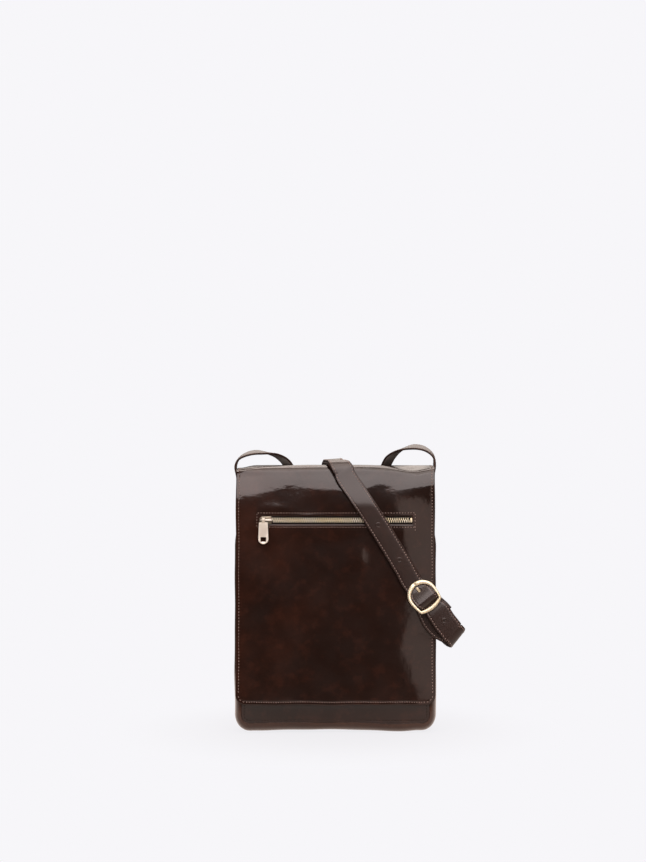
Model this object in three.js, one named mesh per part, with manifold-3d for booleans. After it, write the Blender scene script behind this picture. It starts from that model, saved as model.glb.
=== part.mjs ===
// Crossbody purse: a flat leather bag with a full-length front flap, a zip pocket on the flap, and a
// shoulder strap that is thrown over the bag. Millimetres, +Z up, -Y is the front.
// The origin is on the base, under the middle of the bag.
import * as THREE from 'three';
import { mergeVertices } from 'three/addons/utils/BufferGeometryUtils.js';
import Module from 'manifold-3d';

const wasm = await Module();
wasm.setup();

// ---- driving dimensions ----
const GAP = 0.3;                    // between pieces that touch
const PANEL_HALF = 120;             // half the width of the front and back panels
const PANEL_FOOT = 12;              // height of the panels' lower edge, at the base seam
const PANEL_CORNER = 10;
const PANEL_THICK = 2;
const FRONT_Y = -34;                // outer face of the front panel at the floor
const BACK_Y = 37.5;                // outer face of the back panel
const LEAN = THREE.MathUtils.degToRad(3.4);   // the front leans back, so the bag is thinner at the top
const FRONT_PANEL_TOP = 330;
const BACK_PANEL_TOP = 339.8;

const GUSSET_TOP = 336;
const GUSSET_SKIN = 2.4;
const GUSSET_BULGE = 9;             // how far the gusset stands out past the panels
const GUSSET_BULGE_TOP = 5.8;       // the same beside the strap anchors
const BASE_BULGE = PANEL_FOOT;      // so that the base lies on the floor
const SEAM_X = -3;                  // the seam between the gusset halves, under the bag

const FLAP_HALF = 127.7;
const FLAP_TOP_Z = 343.3;
const FLAP_FOOT = 37;
const FLAP_CORNER = 12;
const LEATHER = 2.2;
// distances from the front panel's outer face, outwards
const FLAP_LINING_IN = 3.6;
const POUCH_IN = 4.5;
const TAPE_IN = 5.5;
const FLAP_IN = 6.4;
const FLAP_OUT = FLAP_IN + LEATHER;

const ZIP_Z = 272.35;
const SLOT_LEFT = -95.4;
const SLOT_RIGHT = 99.2;
const SLOT_HALF = 5.8;
const TOOTH_PITCH = 2.8;
const TEETH_LEFT = -81;
const TEETH_COUNT = 63;
const SLIDER_X = -89;

const STRAP_WIDTH = 26;
const STRAP_THICK = 2.5;
const ANCHOR_Y = 21;
const ANCHOR_X = GUSSET_BULGE_TOP + PANEL_HALF + GAP + STRAP_THICK / 2;

const BUCKLE_X = 112;
const BUCKLE_Z = 176.5;
const BUCKLE_OUT = 20.9;            // from the front panel to the middle of the frame
const BUCKLE_TURN = THREE.MathUtils.degToRad(51);   // the strap's slope there
const BUCKLE_TILT = THREE.MathUtils.degToRad(11.2); // the frame lies on the strap at its top end only
const BAR_U = 6;                    // the centre bar, along the strap from the frame's centre
const BAR_DROP = 2.5;                 // the bar lies this far below the frame's middle
const BAR_RADIUS = 1.3;

const LEATHER_BROWN = { color: '#331a12', roughness: 0.22, metalness: 0 };
const STRAP_BROWN = { color: '#3a2018', roughness: 0.3, metalness: 0 };
const LINING = { color: '#4a3b30', roughness: 0.9, metalness: 0 };
const TAPE = { color: '#2a1c14', roughness: 0.85, metalness: 0 };
const BRASS = { color: '#e0c48c', roughness: 0.25, metalness: 1 };
const PALE_METAL = { color: '#efe2c8', roughness: 0.25, metalness: 1 };
const STEEL = { color: '#b9b6b0', roughness: 0.35, metalness: 1 };

const bag = new THREE.Group();

// ---- helpers ----
const v3 = (x, y, z) => new THREE.Vector3(x, y, z);

// y of the plane that lies d outside the front panel, at height z
function frontY(z, d) {
  return FRONT_Y + z * Math.tan(LEAN) - d / Math.cos(LEAN);
}

function addMesh(name, geometry, look, parent = bag) {
  const mesh = new THREE.Mesh(geometry, new THREE.MeshStandardMaterial(look));
  mesh.name = name;
  parent.add(mesh);
  return mesh;
}

function toSolid(geometry) {
  const bare = geometry.clone();
  bare.deleteAttribute('normal');
  bare.deleteAttribute('uv');
  const merged = mergeVertices(bare, 1e-4);
  return new wasm.Manifold(new wasm.Mesh({
    numProp: 3,
    vertProperties: new Float32Array(merged.attributes.position.array),
    triVerts: new Uint32Array(merged.index.array),
  }));
}

function toGeometry(solid) {
  const mesh = solid.getMesh();
  const geometry = new THREE.BufferGeometry();
  geometry.setAttribute('position', new THREE.BufferAttribute(new Float32Array(mesh.vertProperties), 3));
  geometry.setIndex(new THREE.BufferAttribute(new Uint32Array(mesh.triVerts), 1));
  geometry.computeVertexNormals();
  return geometry;
}

const intersect = (a, b) => toGeometry(toSolid(a).intersect(toSolid(b)));
const subtract = (a, ...cuts) => toGeometry(cuts.reduce((s, c) => s.subtract(toSolid(c)), toSolid(a)));
const join = (a, ...more) => toGeometry(more.reduce((s, c) => s.add(toSolid(c)), toSolid(a)));

function box(x0, x1, y0, y1, z0, z1) {
  return new THREE.BoxGeometry(x1 - x0, y1 - y0, z1 - z0)
    .translate((x0 + x1) / 2, (y0 + y1) / 2, (z0 + z1) / 2);
}

// An outline in X and Z with rounded lower corners
function panelShape(half, foot, top, corner) {
  const shape = new THREE.Shape();
  shape.moveTo(-half, top);
  shape.lineTo(-half, foot + corner);
  shape.absarc(-half + corner, foot + corner, corner, Math.PI, 1.5 * Math.PI, false);
  shape.lineTo(half - corner, foot);
  shape.absarc(half - corner, foot + corner, corner, 1.5 * Math.PI, 2 * Math.PI, false);
  shape.lineTo(half, top);
  shape.closePath();
  return shape;
}

// An outline in X and Z made into a plate whose faces lie at yIn (back) and yOut (front)
function plate(shape, yOut, yIn, curveSegments = 6) {
  return new THREE.ExtrudeGeometry(shape, { depth: yIn - yOut, bevelEnabled: false, curveSegments })
    .rotateX(Math.PI / 2)
    .translate(0, yIn, 0);
}

// A closed solid through rings of points; every ring has the same number of points
function skin(rings) {
  const count = rings[0].length;
  const points = rings.flat();
  const index = [];
  for (let i = 0; i + 1 < rings.length; i++) {
    for (let j = 0; j < count; j++) {
      const a = i * count + j;
      const b = i * count + (j + 1) % count;
      index.push(a, b, a + count, b, b + count, a + count);
    }
  }
  const last = (rings.length - 1) * count;
  const axis = rings[0].map((p) => p.clone());
  const caps = THREE.ShapeUtils.triangulateShape(flatten(axis), []);
  for (const [a, b, c] of caps) {
    index.push(a, c, b);
    index.push(last + a, last + b, last + c);
  }
  const geometry = new THREE.BufferGeometry();
  geometry.setAttribute('position', new THREE.Float32BufferAttribute(points.flatMap((p) => [p.x, p.y, p.z]), 3));
  geometry.setIndex(index);
  return facesOut(geometry);
}

// A flat ring's points in a plane of their own
function flatten(ring) {
  const normal = v3(0, 0, 0);
  ring.forEach((p, i) => normal.add(p.clone().cross(ring[(i + 1) % ring.length])));
  normal.normalize();
  const across = ring[1].clone().sub(ring[0]).normalize();
  const up = normal.clone().cross(across);
  return ring.map((p) => new THREE.Vector2(p.dot(across), p.dot(up)));
}

function volume(geometry) {
  const p = geometry.attributes.position;
  const index = geometry.index.array;
  let sum = 0;
  const [a, b, c] = [v3(), v3(), v3()];
  for (let i = 0; i < index.length; i += 3) {
    a.fromBufferAttribute(p, index[i]);
    b.fromBufferAttribute(p, index[i + 1]);
    c.fromBufferAttribute(p, index[i + 2]);
    sum += a.dot(b.cross(c));
  }
  return sum;
}

function facesOut(geometry) {
  if (volume(geometry) < 0) {
    const index = geometry.index.array;
    for (let i = 0; i < index.length; i += 3) {
      [index[i], index[i + 1]] = [index[i + 1], index[i]];
    }
  }
  geometry.computeVertexNormals();
  return geometry;
}

// A flat strap along a route. Each stop is [x, y, z, wx, wy, wz, thickness]: a point on the strap's
// centre line, the direction in which its sections lie, and the thickness where it is skived.
// from and to count stops, so that one route can be cut into lengths.
function ribbon(stops, from, to, stepsPerStop = 4) {
  const route = new THREE.CatmullRomCurve3(stops.map((s) => v3(s[0], s[1], s[2])), false, 'centripetal');
  const steps = Math.ceil((to - from) * stepsPerStop);
  const rings = [];
  for (let i = 0; i <= steps; i++) {
    const place = THREE.MathUtils.lerp(from, to, i / steps);
    const k = Math.min(Math.floor(place), stops.length - 2);
    const [a, b] = [stops[k], stops[k + 1]];
    const across = v3(a[3], a[4], a[5]).normalize().lerp(v3(b[3], b[4], b[5]).normalize(), place - k);
    const along = route.getTangent(place / (stops.length - 1));
    const out = along.clone().cross(across.normalize());
    across.multiplyScalar(STRAP_WIDTH / 2 / out.length());
    out.setLength(THREE.MathUtils.lerp(a[6] ?? STRAP_THICK, b[6] ?? STRAP_THICK, place - k) / 2);
    const centre = route.getPoint(place / (stops.length - 1));
    rings.push([[-1, -1], [1, -1], [1, 1], [-1, 1]].map(([u, v]) => centre.clone()
      .addScaledVector(across, u).addScaledVector(out, v)));
  }
  return skin(rings);
}

// ---- body of the bag ----
const leaning = new THREE.Group();   // its own XZ plane is the front panel's outer face
leaning.position.set(0, FRONT_Y, 0);
leaning.rotation.x = -LEAN;
bag.add(leaning);

function makePanels() {
  const front = panelShape(PANEL_HALF, PANEL_FOOT, FRONT_PANEL_TOP, PANEL_CORNER);
  addMesh('front_panel', plate(front, 0, PANEL_THICK), LEATHER_BROWN, leaning);
  const back = panelShape(PANEL_HALF, PANEL_FOOT, BACK_PANEL_TOP, PANEL_CORNER);
  addMesh('back_panel', plate(back, BACK_Y - PANEL_THICK, BACK_Y), LEATHER_BROWN);
}

// One half of the gusset: a strip down one side, round the corner and along half of the base.
// side is -1 for the left and 1 for the right.
function gussetHalf(side) {
  const stations = [];
  const endX = side < 0 ? -SEAM_X + GAP / 2 : SEAM_X + GAP / 2;
  for (const z of [GUSSET_TOP, 300, 270, 252, 236, 170, 100, 50, PANEL_FOOT + PANEL_CORNER]) {
    stations.push([PANEL_HALF, z, 1, 0]);
  }
  for (let i = 1; i <= 6; i++) {
    const a = (i / 6) * Math.PI / 2;
    stations.push([
      PANEL_HALF - PANEL_CORNER * (1 - Math.cos(a)),
      PANEL_FOOT + PANEL_CORNER * (1 - Math.sin(a)),
      Math.cos(a), -Math.sin(a),
    ]);
  }
  stations.push([60, PANEL_FOOT, 0, -1], [endX, PANEL_FOOT, 0, -1]);
  const outer = [[0, 0.02], [0.05, 0.55], [0.13, 0.88], [0.24, 1], [0.76, 1], [0.87, 0.88], [0.95, 0.55], [1, 0.02]];
  const rings = stations.map(([x, z, nx, nz]) => {
    const narrow = THREE.MathUtils.smoothstep(z, 236, 270);
    const bulge = THREE.MathUtils.lerp(GUSSET_BULGE, GUSSET_BULGE_TOP, narrow) * nx * nx + BASE_BULGE * nz * nz;
    const y0 = frontY(z, -PANEL_THICK - GAP);
    const y1 = BACK_Y - PANEL_THICK - GAP;
    const at = (u, h) => v3(side * (x + nx * h), y0 + u * (y1 - y0), z + nz * h);
    const skinShare = GUSSET_SKIN / (y1 - y0);
    const inner = outer.map(([u, share]) => [
      THREE.MathUtils.clamp(0.5 + (u - 0.5) * (1 - 2 * skinShare), 0, 1),
      share * bulge - GUSSET_SKIN,
    ]);
    return [...outer.map(([u, share]) => at(u, share * bulge)), ...inner.reverse().map(([u, h]) => at(u, h))];
  });
  return skin(rings);
}

function makeLining() {
  const wall = 0.8;
  const half = PANEL_HALF - GUSSET_SKIN - GAP;
  const foot = PANEL_FOOT + GUSSET_SKIN + 1;
  const top = 328;
  const profile = (inset, z0, z1) => {
    const shape = new THREE.Shape();
    shape.moveTo(frontY(z0, -PANEL_THICK - GAP - inset), z0);
    shape.lineTo(BACK_Y - PANEL_THICK - GAP - inset, z0);
    shape.lineTo(BACK_Y - PANEL_THICK - GAP - inset, z1);
    shape.lineTo(frontY(z1, -PANEL_THICK - GAP - inset), z1);
    shape.closePath();
    return shape;
  };
  // the profile in Y and Z, drawn out along X, meets the outline in X and Z
  const hollowForm = (inset, z1) => intersect(
    new THREE.ExtrudeGeometry(profile(inset, foot + inset, z1), { depth: 4 * half, bevelEnabled: false })
      .rotateX(Math.PI / 2).rotateZ(Math.PI / 2).translate(-2 * half, 0, 0),
    plate(panelShape(half - inset, foot + inset, z1, PANEL_CORNER - inset), -80, 80),
  );
  const outer = hollowForm(0, top);
  const inner = hollowForm(wall, top + 10);
  addMesh('lining', subtract(outer, inner), LINING);
  const back = BACK_Y - PANEL_THICK - GAP - wall - GAP;
  const pocket = subtract(
    box(-85, 85, back - 6, back, 150, 275),
    box(-84, 84, back - 5.2, back + 1, 151, 290),
  );
  addMesh('slip_pocket', pocket, LINING);
}

// ---- flap ----
function makeFlapTop() {
  const lap = box(-FLAP_HALF, FLAP_HALF, BACK_Y + GAP, BACK_Y + GAP + LEATHER, 316, FLAP_TOP_Z - LEATHER - GAP);
  addMesh('flap_rear_lap', lap, LEATHER_BROWN);
  const frontEdge = frontY(FLAP_TOP_Z, FLAP_OUT);
  const top = box(-FLAP_HALF, FLAP_HALF, frontEdge + GAP, BACK_Y + GAP + LEATHER, FLAP_TOP_Z - LEATHER, FLAP_TOP_Z);
  addMesh('flap_top', top, LEATHER_BROWN);
  const lining = box(-125, 125, frontY(FLAP_TOP_Z, FLAP_LINING_IN) + 1, BACK_Y, 340.2, FLAP_TOP_Z - LEATHER - GAP);
  addMesh('flap_top_lining', lining, LINING);
}

const layer = (shape, inner, outer, segments) => plate(shape, -outer, -inner, segments);

function makeFlapFront() {
  const top = FLAP_TOP_Z - LEATHER - GAP - 0.6;
  const leather = panelShape(FLAP_HALF, FLAP_FOOT, top, FLAP_CORNER);
  const slot = new THREE.Path();
  slot.moveTo(SLOT_LEFT, ZIP_Z - SLOT_HALF);
  slot.lineTo(SLOT_RIGHT, ZIP_Z - SLOT_HALF);
  slot.lineTo(SLOT_RIGHT, ZIP_Z + SLOT_HALF);
  slot.lineTo(SLOT_LEFT, ZIP_Z + SLOT_HALF);
  slot.closePath();
  leather.holes.push(slot);
  addMesh('flap_leather', layer(leather, FLAP_IN, FLAP_OUT), LEATHER_BROWN, leaning);
  const lining = panelShape(FLAP_HALF - 1.5, FLAP_FOOT + 1.5, top - 3, FLAP_CORNER);
  addMesh('flap_lining', layer(lining, FLAP_LINING_IN, POUCH_IN - GAP), LINING, leaning);
  const pouch = panelShape(112, 90, ZIP_Z + 12, 8);
  addMesh('zip_pocket_pouch', layer(pouch, POUCH_IN, TAPE_IN - GAP), LINING, leaning);
}

function strip(x0, x1, z0, z1) {
  const shape = new THREE.Shape();
  shape.moveTo(x0, z0);
  shape.lineTo(x1, z0);
  shape.lineTo(x1, z1);
  shape.lineTo(x0, z1);
  shape.closePath();
  return shape;
}

// A row of teeth on its bead; side is 1 for the upper row and -1 for the lower one
function toothRow(side) {
  const toothWidth = 1.05;
  const beadOuter = 3.2;
  const beadInner = 1.8;
  const tip = -0.75;
  const start = TEETH_LEFT + (side > 0 ? 0 : TOOTH_PITCH / 2);
  const end = start + TEETH_COUNT * TOOTH_PITCH;
  const shape = new THREE.Shape();
  shape.moveTo(end, ZIP_Z + side * beadOuter);
  shape.lineTo(start, ZIP_Z + side * beadOuter);
  for (let i = 0; i < TEETH_COUNT; i++) {
    const x = start + i * TOOTH_PITCH;
    if (i > 0) {
      shape.lineTo(x, ZIP_Z + side * beadInner);
    }
    shape.lineTo(x, ZIP_Z + side * tip);
    shape.lineTo(x + toothWidth, ZIP_Z + side * tip);
    shape.lineTo(x + toothWidth, ZIP_Z + side * beadInner);
  }
  shape.lineTo(end, ZIP_Z + side * beadInner);
  shape.closePath();
  return shape;
}

function makeZip() {
  const teethIn = FLAP_IN + 0.4;
  const teethOut = FLAP_OUT + 0.1;
  const left = SLOT_LEFT - 5;
  const right = SLOT_RIGHT + 5;
  addMesh('zip_tape_upper', layer(strip(left, right, ZIP_Z + 0.4, ZIP_Z + 11), TAPE_IN, FLAP_IN - GAP), TAPE, leaning);
  addMesh('zip_tape_lower', layer(strip(left, right, ZIP_Z - 11, ZIP_Z - 0.4), TAPE_IN, FLAP_IN - GAP), TAPE, leaning);
  addMesh('zip_teeth_upper', layer(toothRow(1), teethIn, teethOut), BRASS, leaning);
  addMesh('zip_teeth_lower', layer(toothRow(-1), teethIn, teethOut), BRASS, leaning);
  const stopLeft = TEETH_LEFT + (TEETH_COUNT + 0.5) * TOOTH_PITCH + GAP;
  const stop = strip(stopLeft, SLOT_RIGHT - GAP, ZIP_Z - 3, ZIP_Z + 3);
  addMesh('zip_end_stop', layer(stop, teethIn, teethOut), BRASS, leaning);
}

// The slider: a top plate over the teeth, two side flanges, and a bridge that the pull hangs on
const BRIDGE_OUT = FLAP_OUT + 5.5;      // from the front panel to the middle of the bridge

function makeSlider() {
  const plateIn = FLAP_OUT + 0.4;
  const plateOut = plateIn + 1.2;
  const flange = (z) => box(SLIDER_X - 6, SLIDER_X + 7, -plateIn - 0.2, -FLAP_IN - 0.5, z - 0.4, z + 0.4);
  const leg = (x) => box(x - 0.8, x + 0.8, -BRIDGE_OUT, -plateOut + 0.2, ZIP_Z - 1.5, ZIP_Z + 1.5);
  const body = join(
    box(SLIDER_X - 9, SLIDER_X + 8, -plateOut, -plateIn, ZIP_Z - 4.3, ZIP_Z + 4.3),
    flange(ZIP_Z - 3.9),
    flange(ZIP_Z + 3.9),
    box(SLIDER_X - 7.5, SLIDER_X + 7.5, -BRIDGE_OUT - 1.1, -BRIDGE_OUT + 1.1, ZIP_Z - 1.5, ZIP_Z + 1.5),
    leg(SLIDER_X - 6.7),
    leg(SLIDER_X + 6.7),
  );
  addMesh('zip_slider_body', body, PALE_METAL, leaning);
}

// A ring that lies round the X axis at the origin
function eye(inner, outer, width) {
  const shape = new THREE.Shape().absarc(0, 0, outer, 0, 2 * Math.PI, false);
  shape.holes.push(new THREE.Path().absarc(0, 0, inner, 0, 2 * Math.PI, true));
  return new THREE.ExtrudeGeometry(shape, { depth: width, bevelEnabled: false, curveSegments: 10 })
    .translate(0, 0, -width / 2).rotateY(Math.PI / 2);
}

function makePull() {
  const topHalf = 5.6;
  const footHalf = 6.6;
  const length = 24.2;                  // from the eye to the middle of the round end
  const shape = new THREE.Shape();
  shape.moveTo(topHalf, -2.6);
  shape.lineTo(-topHalf, -2.6);
  shape.lineTo(-footHalf, -length);
  shape.absarc(0, -length, footHalf, Math.PI, 2 * Math.PI, false);
  shape.closePath();
  const hole = new THREE.Path();
  hole.moveTo(-3.45, -length - 3.5);
  hole.lineTo(3.45, -length - 3.5);
  hole.lineTo(3.45, -length + 2.4);
  hole.lineTo(-3.45, -length + 2.4);
  hole.closePath();
  shape.holes.push(hole);
  const pull = join(plate(shape, -0.9, 0.9), eye(2.1, 3.4, 4.2));
  const mesh = addMesh('zip_pull_tab', pull, PALE_METAL, leaning);
  mesh.position.set(SLIDER_X - 3.5, -BRIDGE_OUT, ZIP_Z);
}

function makeSnap() {
  const disc = (inner, outer) => new THREE.CylinderGeometry(8.5, 8.5, outer - inner, 24)
    .translate(0, -(inner + outer) / 2, 70);
  addMesh('snap_socket', disc(GAP, 1.7), STEEL, leaning);
  addMesh('snap_stud', disc(2, FLAP_LINING_IN - GAP), STEEL, leaning);
}

// ---- buckle ----
// The buckle's own axes: ACROSS the strap, DOWN the strap, and OUT of the frame
const OUT_OF_PANEL = v3(0, -Math.cos(LEAN), Math.sin(LEAN));
const UP_PANEL = v3(0, Math.sin(LEAN), Math.cos(LEAN));
const ACROSS = v3(Math.sin(BUCKLE_TURN), 0, 0).addScaledVector(UP_PANEL, Math.cos(BUCKLE_TURN));
const flatDown = v3(Math.cos(BUCKLE_TURN), 0, 0).addScaledVector(UP_PANEL, -Math.sin(BUCKLE_TURN));
const DOWN = flatDown.clone().multiplyScalar(Math.cos(BUCKLE_TILT))
  .addScaledVector(OUT_OF_PANEL, Math.sin(BUCKLE_TILT));
const OUT = OUT_OF_PANEL.clone().multiplyScalar(Math.cos(BUCKLE_TILT))
  .addScaledVector(flatDown, -Math.sin(BUCKLE_TILT));
const BUCKLE_AT = v3(BUCKLE_X, frontY(BUCKLE_Z, BUCKLE_OUT), BUCKLE_Z);

// A stop of a strap's route, given in the buckle's axes
function atBuckle(down, out, aside = 0) {
  const p = BUCKLE_AT.clone().addScaledVector(DOWN, down).addScaledVector(OUT, out).addScaledVector(ACROSS, aside);
  return [p.x, p.y, p.z, ACROSS.x, ACROSS.y, ACROSS.z];
}

// In this group X lies across the strap, Z runs up it, and -Y points out of the frame
const buckle = new THREE.Group();
const basis = new THREE.Matrix4().makeBasis(ACROSS, OUT.clone().negate(), DOWN.clone().negate());
buckle.position.copy(BUCKLE_AT);
buckle.quaternion.setFromRotationMatrix(basis);
bag.add(buckle);

// A horseshoe outline: an arc above, a bowed bar below
function horseshoe(path, half, arcZ, arcHeight, footHalf, footZ, bowZ) {
  path.moveTo(-footHalf, footZ);
  path.quadraticCurveTo(0, 2 * bowZ - footZ, footHalf, footZ);
  path.quadraticCurveTo(half, (footZ + arcZ) / 2, half, arcZ);
  path.absellipse(0, arcZ, half, arcHeight, 0, Math.PI, false, 0);
  path.quadraticCurveTo(-half, (footZ + arcZ) / 2, -footHalf, footZ);
  return path;
}

function makeBuckle() {
  const shape = horseshoe(new THREE.Shape(), 19.25, 2, 19, 16.5, -16.5, -21);
  shape.holes.push(horseshoe(new THREE.Path(), 15.2, 1.5, 13.7, 14.2, -13.6, -16));
  const bar = new THREE.CylinderGeometry(BAR_RADIUS, BAR_RADIUS, 33, 16)
    .rotateZ(Math.PI / 2).translate(0, BAR_DROP, -BAR_U);
  addMesh('buckle_frame', join(plate(shape, -1.6, 1.6, 10), bar), BRASS, buckle);
  const shank = box(-1.6, 1.6, -1.2, 0.8, -BAR_U + 2, 14.6);
  const prong = join(eye(BAR_RADIUS + GAP, BAR_RADIUS + 1.8, 3.2).translate(0, BAR_DROP, -BAR_U), shank);
  addMesh('buckle_prong', prong, BRASS, buckle);
}

// ---- shoulder strap ----
// distances from the front panel to the middle of each layer of the strap
const INNER_LAYER = FLAP_OUT + 0.8 + STRAP_THICK / 2;
const OUTER_LAYER = INNER_LAYER + STRAP_THICK + GAP;
// and from the flap's top front edge to the same layers
const INNER_RISE = 0.65 + STRAP_THICK / 2;
const OUTER_RISE = INNER_RISE + STRAP_THICK + GAP + 0.1;
const FLAT = [0.83, 0.03, 0.56];        // square to the strap, on the front of the flap
const LEVEL = [1, 0, 0];                // along the top edge of the bag
const SKIVED = 1.5;                     // the leather is thinner where it goes round the bar

const onFlap = (x, z, d, wide = FLAT) => [x, frontY(z, d), z, ...wide];

// The strap lies over the top of the bag, and bends over its front edge
const CROSS_X = 3.4;                    // where the strap's middle meets that edge
const EDGE_Y = frontY(FLAP_TOP_Z, FLAP_OUT);
const SLOPE = 0.675;                    // its way aside for each millimetre on, round the front edge
const TOP_SLOPE = 0.1;                  // and over the top
function overTheTop(rise, depths) {
  const stops = depths.map((y) => [CROSS_X - TOP_SLOPE * (y - EDGE_Y), y, FLAP_TOP_Z + rise, ...LEVEL]);
  for (const degrees of [0, 30, 60, 90]) {
    const a = THREE.MathUtils.degToRad(degrees);
    stops.push([CROSS_X + SLOPE * rise * a, EDGE_Y - rise * Math.sin(a), FLAP_TOP_Z + rise * Math.cos(a), ...LEVEL]);
  }
  return stops;
}

// The strap turns back on itself beside the bag's right edge: a half turn of the given radius
const FOLD_X = 149;
const FOLD_Z = 126.5;
const FOLD_OUT = 15.6;
const FOLD_WAY = [0.78, -0.63];         // the way the strap runs there, in X and Z
function foldStops(radius, from, to) {
  const stops = [];
  const count = 4;
  for (let i = 0; i <= count; i++) {
    const a = THREE.MathUtils.lerp(from, to, i / count);
    const reach = radius * Math.sin(a);
    stops.push(onFlap(FOLD_X + FOLD_WAY[0] * reach, FOLD_Z + FOLD_WAY[1] * reach,
      FOLD_OUT + radius * Math.cos(a), [0.63, 0.05, 0.78]));
  }
  return stops;
}

// The inner strap's end goes round the centre bar and comes back over itself
function barStops() {
  const radius = BAR_RADIUS + GAP + SKIVED / 2;
  const stops = [];
  const count = 4;
  for (let i = 0; i <= count; i++) {
    const a = (i / count) * Math.PI;
    const place = atBuckle(BAR_U - radius * Math.sin(a), -BAR_DROP - radius * Math.cos(a));
    stops.push([...place, SKIVED]);
  }
  return stops;
}

// The long part leaves the left gusset, arches over the corner, hangs in a bight behind the bag,
// comes over the top and down the flap, goes through the buckle and turns back at its tail.
const LONG_STRAP = [
  [-ANCHOR_X, 21, 333.8, 0, 1, 0],
  [-130.2, 21, 341, 0, 1, 0],
  [-126, 22, 350.5, 0, 1, 0.05],
  [-113.5, 25, 357.2, -0.1, 1, 0.12],
  [-99, 30, 359, -0.25, 0.97, 0.15],
  [-82, 38.5, 356.5, -0.45, 0.9, 0],
  [-70, 47, 350.5, -0.52, 0.86, 0],
  [-62, 54, 340.5, -0.5, 0.86, 0],
  [-60, 55.5, 325, -0.1, 1, 0],
  [-60.5, 55.5, 300, 0, 1, 0],
  [-58, 55.5, 274, 0, 1, 0],
  [-50, 55.5, 255, 0, 1, 0],
  [-34, 55.5, 246, 0, 1, 0],
  [-18, 55.5, 254, 0, 1, 0],
  [-9, 55.5, 273, 0, 1, 0],
  [-6.5, 55.5, 298, 0, 1, 0],
  [-6.5, 56, 318, 0.15, 1, 0],
  [-7, 56, 332, 0.5, 0.87, 0],
  [-6.5, 54.5, 341.5, 0.85, 0.5, 0.05],
  [-3.5, 48, FLAP_TOP_Z + OUTER_RISE + 0.4, 0.97, 0.24, 0.1],
  ...overTheTop(OUTER_RISE, [38, 24, 4, -12]),
  onFlap(12.5, 332, OUTER_LAYER, LEVEL),
  onFlap(30, 304.5, OUTER_LAYER),
  onFlap(54.5, 266.4, OUTER_LAYER),
  onFlap(87.9, 211.7, OUTER_LAYER),
  atBuckle(-25, -2.6),
  atBuckle(-18, -3.75),
  atBuckle(-9.5, -3.5),
  atBuckle(-3, -0.9),
  atBuckle(2.5, 2),
  atBuckle(7, 2.2),
  atBuckle(10, 0.1),
  atBuckle(13.5, -3.6),
  atBuckle(19, -4.3),
  atBuckle(26, -4.6),
  onFlap(136.7, 147.1, 22.5, [0.72, 0.03, 0.69]),
  onFlap(144, 135.5, 23.5, [0.66, 0.03, 0.75]),
  ...foldStops(8, 0, Math.PI),
  onFlap(143, 131.6, 7.6, [0.6, 0.03, 0.8]),
];
const LONG_CUTS = { loop: 0, bight: 7.1, top: 17.6, front: 28.3, end: LONG_STRAP.length - 1 };

// The short part leaves the right gusset in the same way, lies under the long part on the flap, turns
// back beside the bag's edge, and ends round the buckle's bar with a tab sewn back on itself.
const SHORT_STRAP = [
  [ANCHOR_X, 21, 333.8, 0, 1, 0],
  [130, 21, 342, 0, 1, 0],
  [128.5, 22.5, 354, 0.05, 1, 0.08],
  [117.5, 26, 363.5, 0.1, 0.98, 0.15],
  [101, 31, 366, 0.25, 0.96, 0.2],
  [85, 38.5, 361.5, 0.42, 0.9, 0.1],
  [74, 47, 353, 0.5, 0.86, 0],
  [67.5, 54.5, 341, 0.5, 0.86, 0],
  [62.5, 55.5, 327, 0.1, 1, 0],
  [60, 55.5, 306, 0, 1, 0],
  [54, 55.5, 284, 0, 1, 0],
  [42, 55.5, 269, 0, 1, 0],
  [28, 55.5, 265, 0, 1, 0],
  [15, 55.5, 274, 0, 1, 0],
  [7, 55.5, 295, 0, 1, 0],
  [4.5, 55.5, 319, 0.15, 1, 0],
  [2, 54, 332, 0.5, 0.87, 0],
  [1, 51.5, 340, 0.85, 0.5, 0.05],
  [1, 46, FLAP_TOP_Z + INNER_RISE + 0.4, 0.97, 0.24, 0.1],
  ...overTheTop(INNER_RISE, [38, 24, 4, -12]),
  onFlap(12.5, 332, INNER_LAYER, LEVEL),
  onFlap(30, 304.5, INNER_LAYER),
  onFlap(54.5, 266.4, INNER_LAYER),
  onFlap(82, 218, INNER_LAYER),
  onFlap(96, 188.5, INNER_LAYER, [0.86, 0.03, 0.51]),
  onFlap(105.5, 168, INNER_LAYER, [0.83, 0.03, 0.56]),
  onFlap(116.4, 152.6, INNER_LAYER, [0.73, 0.03, 0.69]),
  onFlap(129.2, 138.8, INNER_LAYER, [0.64, 0.03, 0.77]),
  ...foldStops(4.9, Math.PI, 0),
  onFlap(144, 135.5, 20.3, [0.66, 0.03, 0.75]),
  onFlap(136.7, 147.1, 19.5, [0.72, 0.03, 0.69]),
  [...atBuckle(32, -9.9), 2],
  [...atBuckle(26, -8.9), SKIVED],
  [...atBuckle(19, -8.4), SKIVED],
  [...atBuckle(13, -7.9), SKIVED],
  ...barStops(),
  [...atBuckle(9, -2.1), SKIVED],
  [...atBuckle(13, -5.8), SKIVED],
  [...atBuckle(19, -6.5), SKIVED],
  [...atBuckle(26, -6.9, 1.5), SKIVED],
  [...atBuckle(32.5, -7.5, 3.5), SKIVED],
];
const SHORT_CUTS = { loop: 0, bight: 7.1, top: 16.6, front: 27.3, end: SHORT_STRAP.length - 1 };
const CUT = 0.05;                       // the gap at each cut, in stops

// A box in the buckle's axes, for the slots that the prong passes through
function slotAtBuckle(downFrom, downTo, outFrom, outTo) {
  const half = 2.4;
  buckle.updateMatrix();
  return box(-half, half, -outTo, -outFrom, -downTo, -downFrom).applyMatrix4(buckle.matrix);
}

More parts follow.
